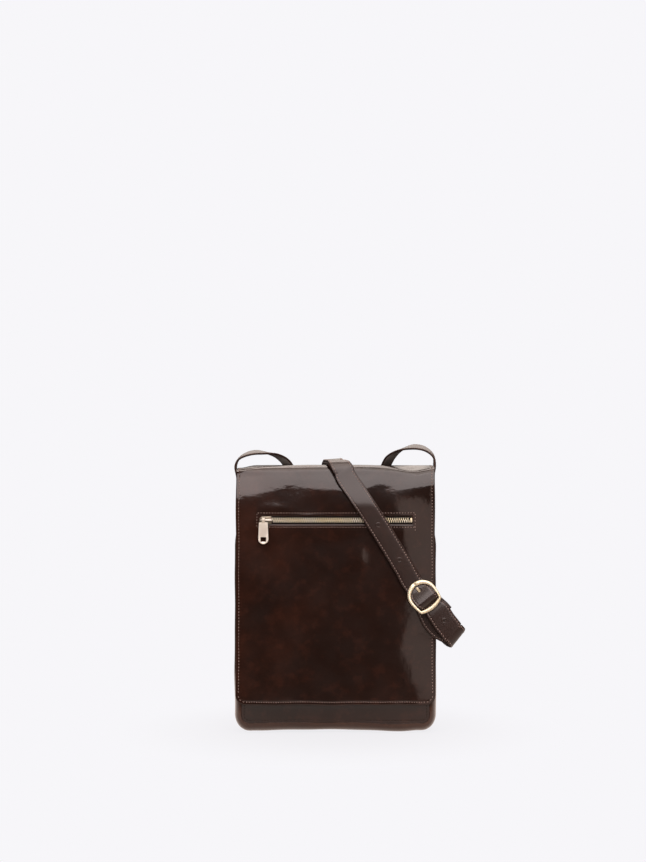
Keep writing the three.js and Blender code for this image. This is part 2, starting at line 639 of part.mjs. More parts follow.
function makeStrap() {
  const anchor = (x) => box(x - STRAP_THICK / 2, x + STRAP_THICK / 2,
    ANCHOR_Y - STRAP_WIDTH / 2, ANCHOR_Y + STRAP_WIDTH / 2, 274, 333);
  addMesh('strap_anchor_left', anchor(-ANCHOR_X), STRAP_BROWN);
  addMesh('strap_anchor_right', anchor(ANCHOR_X), STRAP_BROWN);
  const parts = [
    ['long_strap', LONG_STRAP, LONG_CUTS, slotAtBuckle(-14, 6, -9, 8)],
    ['short_strap', SHORT_STRAP, SHORT_CUTS, slotAtBuckle(-3, 10, -9, 4)],
  ];
  for (const [name, route, cuts, slot] of parts) {
    addMesh(`${name}_loop`, ribbon(route, cuts.loop, cuts.bight - CUT), STRAP_BROWN);
    addMesh(`${name}_bight`, ribbon(route, cuts.bight, cuts.top - CUT), STRAP_BROWN);
    addMesh(`${name}_top`, ribbon(route, cuts.top, cuts.front - CUT), STRAP_BROWN);
    addMesh(`${name}_front`, subtract(ribbon(route, cuts.front, cuts.end), slot), STRAP_BROWN);
  }
}

makePanels();
addMesh('gusset_left', gussetHalf(-1), LEATHER_BROWN);
addMesh('gusset_right', gussetHalf(1), LEATHER_BROWN);
makeLining();
makeFlapTop();
makeFlapFront();
makeZip();
makeSlider();
makePull();
makeSnap();
makeBuckle();
makeStrap();

export default bag;
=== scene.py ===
import math

import bpy
import numpy as np
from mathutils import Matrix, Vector


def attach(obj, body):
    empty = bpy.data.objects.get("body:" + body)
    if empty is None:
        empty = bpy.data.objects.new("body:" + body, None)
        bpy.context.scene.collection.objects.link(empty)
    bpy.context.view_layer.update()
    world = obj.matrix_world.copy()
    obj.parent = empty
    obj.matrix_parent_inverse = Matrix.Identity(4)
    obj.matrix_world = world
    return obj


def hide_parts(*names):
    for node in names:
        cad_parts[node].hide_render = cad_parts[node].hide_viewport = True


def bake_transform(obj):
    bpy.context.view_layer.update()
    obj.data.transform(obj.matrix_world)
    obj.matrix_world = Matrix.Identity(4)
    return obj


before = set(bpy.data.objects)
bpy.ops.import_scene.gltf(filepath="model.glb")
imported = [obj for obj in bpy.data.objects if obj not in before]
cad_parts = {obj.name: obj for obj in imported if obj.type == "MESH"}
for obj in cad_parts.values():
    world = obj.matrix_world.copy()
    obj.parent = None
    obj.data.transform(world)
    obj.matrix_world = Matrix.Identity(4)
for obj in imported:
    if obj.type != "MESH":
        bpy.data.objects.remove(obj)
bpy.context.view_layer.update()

MM = 0.001

# ------------------------ driving values, in millimetres
LEAN = math.radians(3.4)
FRONT_Y = -34.0
BACK_Y = 37.5
FLAP_HALF = 127.7
FLAP_TOP = 343.3
FLAP_FOOT = 37.0
FLAP_CORNER = 12.0
FLAP_LOW = 62.0         # below this the flap's front is drawn in to its rounded corners
FLAP_OUT = 8.6
ROW_INSET = 3.2         # from the flap's edge to its row of stitches
LEATHER, CLOTH_THICK = 2.2, 0.8
ZIP_Z = 272.35
SLOT_LEFT, SLOT_RIGHT, SLOT_HALF = -95.4, 99.2, 5.8
SLIDER_X = -89.0
BRIDGE_OUT = FLAP_OUT + 5.5
STRAP_WIDTH, STRAP_THICK = 26.0, 2.5
ANCHOR_X = 127.35
SEAM_Y = 8.0            # where the flap's and the strap's rear and front pieces meet, on top of the bag
# places near flap_fold, in metres, that pieces pass to make(), which does not use them
OVER_EDGE = {"start": (0, -0.010, 0.350), "end": (0, -0.030, 0.328)}
OUT_OF_PANEL = np.array([0, -math.cos(LEAN), math.sin(LEAN)])


# ------------------------ small helpers
def front_y(z, d):
    return FRONT_Y + z * math.tan(LEAN) - d / math.cos(LEAN)


def lerp(a, b, t):
    return a + (b - a) * t


def smooth(lo, hi, v):
    t = np.clip((np.asarray(v, float) - lo) / (hi - lo), 0, 1)
    return t * t * (3 - 2 * t)


def unit(v):
    v = np.asarray(v, float)
    return v / np.maximum(np.linalg.norm(v, axis=-1, keepdims=True), 1e-12)


def waves(a, b, seed, length):
    """A smooth unevenness from -1 to 1 over two coordinates; length is about the distance between crests."""
    r, count = np.random.default_rng(seed), 5
    total = np.zeros(np.broadcast(a, b).shape)
    for _ in range(count):
        way = r.uniform(0, 2 * math.pi)
        k = 2 * math.pi / (length * r.uniform(0.7, 1.6))
        total = total + np.sin(k * (np.cos(way) * a + np.sin(way) * b) + r.uniform(0, 2 * math.pi))
    return total / count * 1.6


def spline(stops, places):
    """A centripetal Catmull-Rom curve through the stops, at places counted in stops, and its direction."""
    stops = np.asarray(stops, float)
    before = 2 * stops[0] - stops[1]
    after = 2 * stops[-1] - stops[-2]
    p = np.vstack([before, stops, after])
    points, tangents = [], []
    for place in places:
        k = int(min(max(math.floor(place), 0), len(stops) - 2))
        t = place - k
        p0, p1, p2, p3 = p[k:k + 4]
        d0, d1, d2 = (max(np.linalg.norm(b - a), 1e-4) ** 0.5 for a, b in ((p0, p1), (p1, p2), (p2, p3)))
        m1 = ((p1 - p0) / d0 - (p2 - p0) / (d0 + d1) + (p2 - p1) / d1) * d1
        m2 = ((p2 - p1) / d1 - (p3 - p1) / (d1 + d2) + (p3 - p2) / d2) * d1
        a = 2 * p1 - 2 * p2 + m1 + m2
        b = -3 * p1 + 3 * p2 - 2 * m1 - m2
        points.append(((a * t + b) * t + m1) * t + p1)
        tangents.append((3 * a * t + 2 * b) * t + m1)
    return np.array(points), unit(tangents)


# ------------------------ materials
class Nodes:
    """Adds nodes to a tree and links them; a socket's value is a number, a colour or another socket."""

    def __init__(self, tree):
        self.tree = tree
        tree.nodes.clear()

    def node(self, kind, inputs=(), **settings):
        made = self.tree.nodes.new("ShaderNode" + kind)
        for name, value in settings.items():
            setattr(made, name, value)
        for socket, value in dict(inputs).items():
            if isinstance(value, bpy.types.NodeSocket):
                self.tree.links.new(value, made.inputs[socket])
            else:
                made.inputs[socket].default_value = value
        return made

    def band(self, value, lo, hi, out_lo=0.0, out_hi=1.0):
        return self.node("MapRange", {"Value": value, "From Min": lo, "From Max": hi, "To Min": out_lo,
                                      "To Max": out_hi}, interpolation_type="SMOOTHSTEP").outputs["Result"]

    def maths(self, how, *values):
        return self.node("Math", dict(enumerate(values)), operation=how).outputs[0]

    def blend(self, factor, a, b, **settings):
        a, b = ((*v, 1) if isinstance(v, tuple) else v for v in (a, b))
        mix = self.node("Mix", {"Factor": factor, "A": a, "B": b}, data_type="RGBA", **settings)
        return mix.outputs["Result"]


def new_material(name):
    mat = bpy.data.materials.new(name)
    mat.use_nodes = True
    return mat


class Look(Nodes):
    """Builds one node material: a Principled shader with textures laid in the piece's own space."""

    def __init__(self, name, metallic=0.0, coat=0.0, coat_roughness=0.1, sheen=0.0, specular=0.5):
        self.mat = new_material(name)
        super().__init__(self.mat.node_tree)
        self.shader = self.node("BsdfPrincipled", {
            "Metallic": metallic, "Coat Weight": coat, "Coat Roughness": coat_roughness,
            "Sheen Weight": sheen, "Specular IOR Level": specular})
        self.node("OutputMaterial", {"Surface": self.shader.outputs[0]})
        self.place = self.node("TexCoord").outputs["Object"]

    def noise(self, scale, detail=4.0, rough=0.55, stretch=None):
        source = self.place
        if stretch:
            source = self.node("Mapping", {"Vector": source, "Scale": stretch}).outputs[0]
        return self.node("TexNoise", {"Vector": source, "Scale": scale, "Detail": detail,
                                      "Roughness": rough}).outputs["Fac"]

    def cells(self, scale):
        return self.node("TexVoronoi", {"Vector": self.place, "Scale": scale},
                         feature="DISTANCE_TO_EDGE").outputs["Distance"]

    def weave(self, scale, way):
        return self.node("TexWave", {"Vector": self.place, "Scale": scale, "Distortion": 0.6},
                         bands_direction=way).outputs["Fac"]

    def axis(self, name):
        return self.node("SeparateXYZ", {0: self.place}).outputs[name]

    def bump(self, *layers, into="Normal"):
        """Layers of relief, one on the other; each is (height, distance, strength)."""
        last = {}
        for height, distance, strength in layers:
            last = {"Normal": self.node("Bump", {"Height": height, "Distance": distance, "Strength": strength,
                                                 **last}).outputs[0]}
        self.set(into, last["Normal"])

    def set(self, name, socket):
        self.tree.links.new(socket, self.shader.inputs[name])

    def colour(self, factor, dark, light):
        self.set("Base Color", self.blend(factor, dark, light))

    def roughness(self, socket):
        self.set("Roughness", socket)


def leather(name, dark, red, mottled=1.0, gloss=(0.2, 0.36), coat=(1.0, 0.09), specular=0.12,
            roll=(0.327, 0.387, 0.0094), foot=0.0, creases=0.0):
    """Dark glazed leather; roll tips its glaze back over a range of heights near the top, foot down below."""
    look = Look(name, coat=coat[0], coat_roughness=coat[1], specular=specular)
    cloud = look.band(look.noise(13, 5, 0.62), 0.36, 0.72)
    # the blotches are at full strength towards the bag's left and fade to 0.3 of it from the middle rightwards,
    # so the leather is redder on the left
    side = look.band(look.axis("X"), -0.13, 0.02, 1.0, 0.3)
    flecks = look.band(look.noise(70, 4, 0.6), 0.48, 0.7, 0.0, 0.45)
    mottling = look.maths("ADD", look.maths("MULTIPLY", cloud, side), flecks)
    look.colour(look.maths("MULTIPLY", mottling, mottled), dark, red)
    look.roughness(look.band(look.noise(30, 4), 0.35, 0.7, *gloss))
    look.bump(
        (look.noise(20, 3), 0.0022, 0.12),
        (look.noise(160, 3), 0.0005, 0.2),
        (look.cells(900), 0.00012, 0.3),
    )
    high = look.maths("ADD", look.axis("Z"), look.maths("MULTIPLY", look.noise(11, 2), 0.03))
    wrinkles = look.noise(95, 4, 0.6, stretch=(0.6, 1.0, 1.0))
    look.bump(
        (look.noise(24, 3), 0.002, 0.14),
        (look.noise(120, 3), 0.0005, 0.1),
        (look.band(high, roll[0], roll[1]), -roll[2], 1.0),
        (look.band(look.axis("Z"), 0.011, 0.037), foot, 1.0),
        (look.maths("MULTIPLY", wrinkles, look.band(high, 0.28, 0.325)), creases, 0.5),
        into="Coat Normal",
    )
    return look.mat


def painted_edge(name, colour, light):
    look = Look(name, specular=0.25)
    look.colour(look.band(look.noise(90, 4), 0.4, 0.7), colour, light)
    look.roughness(look.band(look.noise(240, 3), 0.3, 0.7, 0.42, 0.6))
    look.bump((look.noise(500, 3), 0.0003, 0.4))
    return look.mat


def thread(name, colour, light):
    look = Look(name, specular=0.2)
    look.colour(look.band(look.noise(700, 3), 0.35, 0.65), colour, light)
    look.roughness(look.band(look.noise(400, 2), 0.3, 0.7, 0.55, 0.75))
    look.bump((look.weave(900, "DIAGONAL"), 0.0002, 0.6))
    return look.mat


def woven(name, dark, light, scale, folds=0.3):
    look = Look(name, sheen=0.3)
    both = look.maths("MULTIPLY", look.weave(scale, "X"), look.weave(scale * 1.1, "Z"))
    fade = look.band(look.noise(25, 4), 0.3, 0.75, 0.0, 0.5)
    look.colour(look.maths("ADD", both, fade), dark, light)
    look.roughness(look.band(look.noise(60, 3), 0.3, 0.7, 0.7, 0.92))
    look.bump((look.noise(30, 3), 0.002, folds), (both, 0.0003, 0.5))
    return look.mat


def metal(name, dull, bright, gloss=(0.34, 0.44), metallic=0.6):
    look = Look(name, metallic=metallic)
    look.colour(look.band(look.noise(60, 4), 0.35, 0.7), dull, bright)
    look.roughness(look.band(look.noise(220, 4), 0.35, 0.7, *gloss))
    look.bump((look.noise(500, 2, 0.7, stretch=(1.0, 1.0, 0.06)), 0.00003, 0.15))
    return look.mat


HIDE = leather("brown_leather", (0.0132, 0.005, 0.003), (0.052, 0.0165, 0.009), 0.6, (0.3, 0.45),
               foot=0.004, creases=0.0006)
STRAP_HIDE = leather("strap_leather_brown", (0.021, 0.0093, 0.0063), (0.046, 0.0195, 0.013), 0.6, (0.4, 0.55),
                     (0.9, 0.23), 0.25, (0.302, 0.372, 0.014))
EDGE = painted_edge("edge_paint", (0.028, 0.0135, 0.01), (0.06, 0.032, 0.024))
FLESH = leather("leather_reverse", (0.05, 0.022, 0.014), (0.09, 0.04, 0.024), 1.0, (0.5, 0.7))
THREAD = thread("brown_thread", (0.27, 0.19, 0.167), (0.42, 0.31, 0.275))
CLOTH = woven("lining_weave", (0.05, 0.033, 0.022), (0.1, 0.072, 0.05), 420)
# very dark tape: partly the tape's own dark brown, partly painted shade, so the gaps between the zip teeth read
# dark
TAPE = woven("tape_weave", (0.006, 0.0035, 0.0025), (0.016, 0.009, 0.006), 700, 0.1)
# a paler, less metallic copy of the brass for the zip teeth; its extra lightness is a painted highlight
# standing in for the teeth's glints
TOOTH = metal("zip_brass", (0.95, 0.84, 0.56), (1.0, 0.96, 0.8), (0.3, 0.4), 0.12)
BRASS = metal("pale_brass", (0.93, 0.82, 0.58), (0.97, 0.88, 0.66))
# a darker copy of the brass for the slider's plate and side flanges: painted shade, as they lie in shadow under
# the bridge
SHADED = metal("slider_metal", (0.17, 0.15, 0.115), (0.27, 0.235, 0.18), (0.35, 0.45))
PALE = metal("pale_pull_metal", (0.95, 0.89, 0.78), (1.0, 0.96, 0.88), (0.4, 0.5), 0.4)
STEEL = metal("snap_steel", (0.4, 0.39, 0.37), (0.62, 0.61, 0.59), (0.25, 0.4))
HOLE = painted_edge("hole_shadow", (0.004, 0.002, 0.0015), (0.008, 0.004, 0.003))
LEATHER_LOOKS, CLOTH_LOOKS = (HIDE, EDGE, FLESH), (CLOTH, CLOTH, CLOTH)


# ------------------------ making meshes
class Piece:
    """A mesh gathered part by part, in millimetres."""

    def __init__(self, name, slot, *materials):
        self.name, self.slot, self.materials = name, slot, materials
        self.points, self.faces, self.looks = [], [], []
        self.count = 0

    def add(self, points, faces, look):
        """Adds points, and faces that count from the first of them. Returns that point's place in the mesh."""
        points, first = np.asarray(points, float).reshape(-1, 3), self.count
        self.points.append(points)
        self.count += len(points)
        self.add_faces(faces, look, first)
        return first

    def add_faces(self, faces, look, first=0):
        self.faces.extend(tuple(int(i) + first for i in f) for f in faces)
        self.looks.extend([self.materials.index(look)] * len(faces))

    def make(self, nodes, *bodies, sharp=50, **bend):
        """Makes the mesh and hides the nodes it replaces. It rides on one body; given a bend, it only stays
        where it is, and neither the bodies nor the bend's places are used.
        """
        mesh = bpy.data.meshes.new(self.name)
        mesh.from_pydata((np.vstack(self.points) * MM).tolist(), [], self.faces)
        for mat in self.materials:
            mesh.materials.append(mat)
        mesh.polygons.foreach_set("material_index", np.array(self.looks, np.int32))
        mesh.shade_smooth()
        mesh.set_sharp_from_angle(angle=math.radians(sharp))
        mesh.validate()
        mesh.update()
        obj = bpy.data.objects.new(self.name, mesh)
        bpy.context.scene.collection.objects.link(obj)
        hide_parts(*nodes)
        if bend:
            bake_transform(obj)
        else:
            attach(obj, *bodies)


def grid(rows, cols, skip=None, flip=False):
    faces = []
    for r in range(rows - 1):
        for c in range(cols - 1):
            if skip is not None and skip(r, c):
                continue
            a, b = r * cols + c, (r + 1) * cols + c
            faces.append((a, a + 1, b + 1, b) if flip else (a, b, b + 1, a + 1))
    return faces


def face_normals(points, faces):
    f = np.array(faces)
    n = np.cross(points[f[:, 2]] - points[f[:, 0]], points[f[:, 3]] - points[f[:, 1]])
    total = np.zeros_like(points)
    for k in range(4):
        np.add.at(total, f[:, k], n)
    return unit(total)


def border_edges(faces):
    """The edges that only one face has, in that face's direction."""
    directed = {(f[k], f[(k + 1) % 4]) for f in faces for k in range(4)}
    return sorted((a, b) for a, b in directed if (b, a) not in directed)


def sheet(piece, points, faces, thick, looks, bulge=0.8, sink=0.0, normals=None):
    """A sheet of leather or cloth: an outer face, an inner face and a rounded edge all round its borders."""
    outer, edge, inner = looks
    points = np.asarray(points, float).reshape(-1, 3)
    used = np.zeros(len(points), bool)
    used[np.unique(np.array(faces))] = True
    n = face_normals(points, faces) if normals is None else normals
    thick, bulge, sink = (np.broadcast_to(np.asarray(v, float).reshape(-1, 1), (len(points), 1))
                          for v in (thick, bulge, sink))
    top, low = points - n * sink, points - n * thick
    keep = np.cumsum(used) - 1
    first = piece.add(top[used], [tuple(keep[i] for i in f) for f in faces], outer)
    second = piece.add(low[used], [tuple(keep[i] for i in reversed(f)) for f in faces], inner)
    border = border_edges(faces)
    out = np.zeros_like(points)
    for a, b in border:
        way = np.cross(unit(points[b] - points[a]), n[a] + n[b])
        out[a] += way
        out[b] += way
    out = unit(out)
    rim = sorted({i for e in border for i in e})
    where = {v: k for k, v in enumerate(rim)}
    steps = 4
    turns = [math.pi * k / steps for k in range(1, steps)]
    rings = [points[rim] + out[rim] * bulge[rim] * math.sin(a) - n[rim] * thick[rim] / 2 * (1 - math.cos(a))
             for a in turns]
    base = piece.add(np.vstack(rings), [], edge)

    def at(v, k):
        if k == 0:
            return first + keep[v]
        if k == steps:
            return second + keep[v]
        return base + (k - 1) * len(rim) + where[v]

    piece.add_faces([(at(b, k), at(a, k), at(a, k + 1), at(b, k + 1))
                     for a, b in border for k in range(steps)], edge)


def hoops(count, sides, ring_loop=False):
    """The faces between rings of points, one ring after the other."""
    return [(i * sides + k, i * sides + (k + 1) % sides,
             (i + 1) % count * sides + (k + 1) % sides, (i + 1) % count * sides + k)
            for i in range(count if ring_loop else count - 1) for k in range(sides)]


def run_along(path):
    """The distance along a path to each of its points."""
    return np.concatenate([[0], np.cumsum(np.linalg.norm(np.diff(path, axis=0), axis=1))])


def stitches(piece, path, normals, pitch=3.9, length=2.1, radius=0.56, slant=0.0, look=None):
    """A row of stitches: each is a short thread that dips into the leather at both ends."""
    far = run_along(path)
    normals = np.broadcast_to(normals, path.shape)
    count = max(int(far[-1] / pitch), 1)
    at = (np.arange(count) + 0.5) * far[-1] / count

    def pick(values, s):
        return np.stack([np.interp(s, far, values[:, k]) for k in range(3)], 1)

    centre = pick(path, at)
    up = unit(pick(normals, at))
    along = unit(pick(path, at + 0.4) - pick(path, at - 0.4))
    side = unit(np.cross(along, up))
    along = unit(along * math.cos(slant) + side * math.sin(slant))
    side = unit(np.cross(along, up))
    profile = [(-0.5, 0.35, -0.3), (-0.32, 0.85, 0.15), (0, 1.0, 0.35), (0.32, 0.85, 0.15), (0.5, 0.35, -0.3)]
    sides = 6
    rings = []
    for a, r, h in profile:
        middle = centre + along * (a * length) + up * (h * radius)
        for k in range(sides):
            turn = 2 * math.pi * k / sides
            rings.append(middle + radius * r * (side * math.cos(turn) + up * math.sin(turn)))
    points = np.stack(rings, 1)
    each = len(profile) * sides
    one = [*hoops(len(profile), sides), tuple(range(sides))[::-1], tuple(range(each - sides, each))]
    faces = [tuple(i + s * each for i in f) for s in range(len(points)) for f in one]
    piece.add(points.reshape(-1, 3), faces, look or THREAD)


def loft(piece, rings, look, close_ends=True, flip=False, ring_loop=False):
    """A surface through rings of points; the ends are closed with a fan round their middles."""
    rings = [np.asarray(r, float) for r in rings]
    sides, last = len(rings[0]), len(rings) - 1
    faces = hoops(len(rings), sides, ring_loop)
    points = np.vstack(rings)
    if close_ends and not ring_loop:
        middle = len(points)
        points = np.vstack([points, rings[0].mean(0), rings[-1].mean(0)])
        for k in range(sides):
            a, b = k, (k + 1) % sides
            faces += [(b, a, middle), (last * sides + a, last * sides + b, middle + 1)]
    piece.add(points, [f[::-1] for f in faces] if flip else faces, look)


def tube(piece, path, radii, look, sides=12, across=None, flat=1.0, round_ends=True):
    """A round or flattened bar along a path. radii is one value or one for each point."""
    path = np.asarray(path, float)
    radii = np.broadcast_to(np.asarray(radii, float), len(path)).copy()
    along = unit(np.gradient(path, axis=0))
    across = np.array([1.0, 0, 0]) if across is None else np.asarray(across, float)
    turns = np.linspace(0, 2 * math.pi, sides, endpoint=False)[:, None]

    def ring(i, scale=1.0, shift=0.0):
        side = unit(across - along[i] * (across @ along[i]))
        up = np.cross(side, along[i])
        circle = side * np.cos(turns) + up * flat * np.sin(turns)
        return path[i] + along[i] * shift + radii[i] * scale * circle

    def cap(i, way):
        sizes = (0.0, 0.5, 0.87) if round_ends else ()
        return [ring(i, max(c, 0.05), way * radii[i] * flat * math.sqrt(1 - c * c)) for c in sizes]

    last = len(path) - 1
    loft(piece, cap(0, -1) + [ring(i) for i in range(last + 1)] + cap(last, 1)[::-1], look)


# ------------------------ the flap
def flap_profile():
    """The flap's outer face in Y and Z, from its rear edge over the top and down to its foot."""
    stops = [(40, 316), (40, 324), (39.9, 332), (39.1, 338), (36.9, 341.4), (33, 343), (26, FLAP_TOP),
             (10, FLAP_TOP), (-4, FLAP_TOP), (-11, 342.9), (-16, 341.2), (-19.2, 338.2),
             (front_y(333, 6.5), 333), (front_y(325, 7.5), 325), (front_y(312, 8.25), 312)]
    stops += [(front_y(z, FLAP_OUT), z) for z in (295, 270, 200, 120, 60, FLAP_FOOT)]
    points, _ = spline([(0, y, z) for y, z in stops], np.linspace(0, len(stops) - 1, 1600))
    return run_along(points), points[:, 1], points[:, 2]


PROFILE_S, PROFILE_Y, PROFILE_Z = flap_profile()


def s_on_top(y):
    """The distance along the profile of a depth on the flap's top."""
    top = slice(200, 900)
    return np.interp(-np.asarray(y, float), -PROFILE_Y[top], PROFILE_S[top])


SEAM_S, CREST_S = float(s_on_top(SEAM_Y)), float(s_on_top(-17.5))
FOOT_S = float(PROFILE_S[-1])
# low swellings on the front: height, then place and size in x and in z
SWELLS = [(1.1, 90, 17, 259.5, 8), (0.8, -30, 60, 262, 9), (0.7, 30, 9, 226, 13), (0.75, -80, 20, 288, 6)]
# the height of the flap's top along its front edge
TOP_LINE = [(-127.7, 337.2), (-110, 339.8), (-90, 341.6), (-40, 343), (0, 343.3), (40, 343.1), (66, 342.2),
            (84, 338.6), (99, 335.6), (113, 338.2), (127.7, 341.8)]


def s_at(z):
    """The distance along the profile of a height on the flap's front."""
    low = PROFILE_S > CREST_S
    return float(np.interp(-z, -PROFILE_Z[low], PROFILE_S[low]))


def foot_line(x):
    """Height of the flap's lower edge, with its rounded corners."""
    corner = np.clip(np.abs(x) - (FLAP_HALF - FLAP_CORNER), 0, FLAP_CORNER)
    arc = np.sqrt(np.maximum(FLAP_CORNER ** 2 - corner ** 2, 0))
    return FLAP_FOOT + FLAP_CORNER - arc + 0.45 * waves(x, 0, 3, 70)


def top_sag(x, y, z, on_front):
    """How far the top is from level; it sags most of all beside the strap's right loop."""
    line_x, line_z = zip(*TOP_LINE)
    top = sum(np.interp(x + aside, line_x, line_z) for aside in (-8, -4, 0, 4, 8)) / 5
    rear = FLAP_TOP - 3.5 * smooth(-104, -126, x)
    drop = lerp(rear, top, smooth(34, -6, y)) - FLAP_TOP
    ease = np.where(on_front & (y < -6), smooth(292, 338, z), 1.0)
    ease = np.where((~on_front) & (z < 340), smooth(320, 338, z), ease)
    return drop * ease - 0.9 * smooth(5, 30, y) * smooth(320, 336, z)


def front_relief(x, z):
    """The unevenness of soft leather, mostly inwards so that the strap lies clear."""
    calm = 1 - 0.85 * np.exp(-(((z - ZIP_Z) / 12) ** 2)) * smooth(118, 100, np.abs(x))
    dent = 0.5 + 0.5 * waves(x, z, 11, 84) + (0.5 + 0.5 * waves(x, z, 5, 40)) * 0.2
    dent = dent + (0.5 + 0.5 * waves(x, z * 0.7, 9, 46)) * 0.9 * smooth(292, 318, z)
    turn_x = 62 + 9 * waves(z, 0, 71, 150)
    side = 3.0 * np.clip((x - turn_x) / (FLAP_HALF - 62), 0, 1.2) ** 2 * smooth(322, 284, z)
    side = side + 1.0 * np.clip((-x - 108) / 20, 0, 1) ** 2
    side = side + 1.5 * smooth(298, 332, z) * smooth(-78, -106, x)
    swell = sum(high * np.exp(-(((x - at_x) / wide) ** 2 + ((z - at_z) / tall) ** 2))
                for high, at_x, wide, at_z, tall in SWELLS)
    return dent * calm + side - swell


def flap_point(x, s):
    """The flap's outer face, at the distance s along its profile."""
    x, s = np.broadcast_arrays(x, s)
    y = np.interp(s, PROFILE_S, PROFILE_Y)
    z = np.interp(s, PROFILE_S, PROFILE_Z)
    on_front = s > CREST_S
    # the lower corners are round
    foot = foot_line(x)
    pulled = foot + (z - FLAP_FOOT) * (FLAP_LOW - foot) / (FLAP_LOW - FLAP_FOOT)
    low = on_front & (z < FLAP_LOW)
    y = np.where(low, y + (pulled - z) * math.tan(LEAN), y)
    z = np.where(low, pulled, z)
    z = z + top_sag(x, y, z, on_front)
    y = y + np.where(on_front, smooth(342, 328, z), 0.0) * front_relief(x, z)
    z = z - smooth(-6, 12, y) * (0.3 + 0.3 * waves(x, y, 8, 60)) * smooth(36, 28, y)
    # wavering side edges
    rim = np.clip(np.abs(x) / FLAP_HALF, 0, 1) ** 10
    x = x + np.sign(x) * rim * (0.7 * waves(z, 0, 21, 90) - 0.5) * smooth(345, 320, z)
    return np.stack([x, y, z], -1)


def flap_normal(x, s):
    a = flap_point(x + 0.5, s) - flap_point(x - 0.5, s)
    b = flap_point(x, s + 0.5) - flap_point(x, s - 0.5)
    return unit(np.cross(b, a))


def spread(lo, hi, step):
    return np.linspace(lo, hi, max(int(round((hi - lo) / step)), 1) + 1)


def flap_columns():
    edge = np.array([0, 0.7, 1.5, 2.2, 2.9, 3.6, 4.4, 5.6, 8, 11, 15, 20])
    return np.concatenate([
        -FLAP_HALF + edge,
        spread(-107.7, SLOT_LEFT - 2, 5)[1:], SLOT_LEFT + np.array([-0.8, 0, 1]),
        spread(SLOT_LEFT + 3, SLOT_RIGHT - 3, 5), SLOT_RIGHT + np.array([-1, 0, 0.8]),
        spread(SLOT_RIGHT + 2, 107.7, 3)[:-1],
        (FLAP_HALF - edge)[::-1]])


def edge_distance(x, s):
    """Distance from the flap's nearest outer edge, along its face."""
    aside = FLAP_HALF - np.abs(x)
    z = np.interp(s, PROFILE_S, PROFILE_Z)
    down = np.where(s > CREST_S, FOOT_S - s, 999)
    corner_x = np.abs(x) - (FLAP_HALF - FLAP_CORNER)
    corner_z = FLAP_FOOT + FLAP_CORNER - z
    round_part = FLAP_CORNER - np.hypot(np.maximum(corner_x, 0), np.maximum(corner_z, 0))
    in_corner = (corner_x > 0) & (corner_z > 0) & (s > CREST_S)
    near = np.minimum(aside, down)
    near = np.where(s < 40, np.minimum(near, s), near)
    return np.where(in_corner, np.maximum(round_part, 0), near)


def groove(near, inset=ROW_INSET, depth=0.14, width=0.8):
    return depth * np.exp(-(((near - inset) / width) ** 2))


def flap_sheet(name, rows, with_slot):
    piece = Piece(name, "leather", *LEATHER_LOOKS, THREAD)
    cols = flap_columns()
    x, s = np.meshgrid(cols, rows)
    points = flap_point(x, s)
    near = edge_distance(x, s)
    slot_top, slot_foot = s_at(ZIP_Z + SLOT_HALF), s_at(ZIP_Z - SLOT_HALF)
    lip = np.zeros_like(x)
    if with_slot:
        off_x = np.maximum(np.maximum(SLOT_LEFT - x, x - SLOT_RIGHT), 0)
        off_s = np.maximum(np.maximum(slot_top - s, s - slot_foot), 0)
        off = np.hypot(off_x, off_s)
        lip = 0.08 * np.exp(-(((off - 3.4) / 0.9) ** 2)) - 0.06 * np.exp(-(((off - 1.2) / 1.2) ** 2))

    def skip(r, c):
        if not with_slot:
            return False
        in_x = SLOT_LEFT - 0.01 < cols[c] and cols[c + 1] < SLOT_RIGHT + 0.01
        return in_x and slot_top - 0.01 < rows[r] and rows[r + 1] < slot_foot + 0.01

    faces = grid(len(rows), len(cols), skip)
    seam = np.abs(s - SEAM_S) < 0.01
    sheet(piece, points, faces, LEATHER, LEATHER_LOOKS, np.where(seam, 0.0, 0.75), groove(near) + lip)
    return piece


def edge_rows(piece, lines, pitch=3.9, slant=0.0):
    sunk = 0.3
    for x, s in lines:
        x, s = np.broadcast_arrays(x, s)
        normals = flap_normal(x, s)
        stitches(piece, flap_point(x, s) - normals * sunk, normals, pitch, 0.54 * pitch, slant=slant)


def make_flap_rear():
    rows = np.concatenate([[0, 0.8, 1.6, 2.4, 3.2, 4, 5], spread(7, SEAM_S, 2.4)])
    piece = flap_sheet("flap_rear_leather", rows, False)
    side_s = np.linspace(ROW_INSET, SEAM_S - 2, 60)
    edge_rows(piece, [(-FLAP_HALF + ROW_INSET, side_s), (FLAP_HALF - ROW_INSET, side_s),
                      (np.linspace(-FLAP_HALF + 4, FLAP_HALF - 4, 200), ROW_INSET)])
    piece.make(["flap_rear_lap"], "bag", "flap_bridge", start=(0, 0.0405, 0.326), end=(0, 0.034, 0.343))


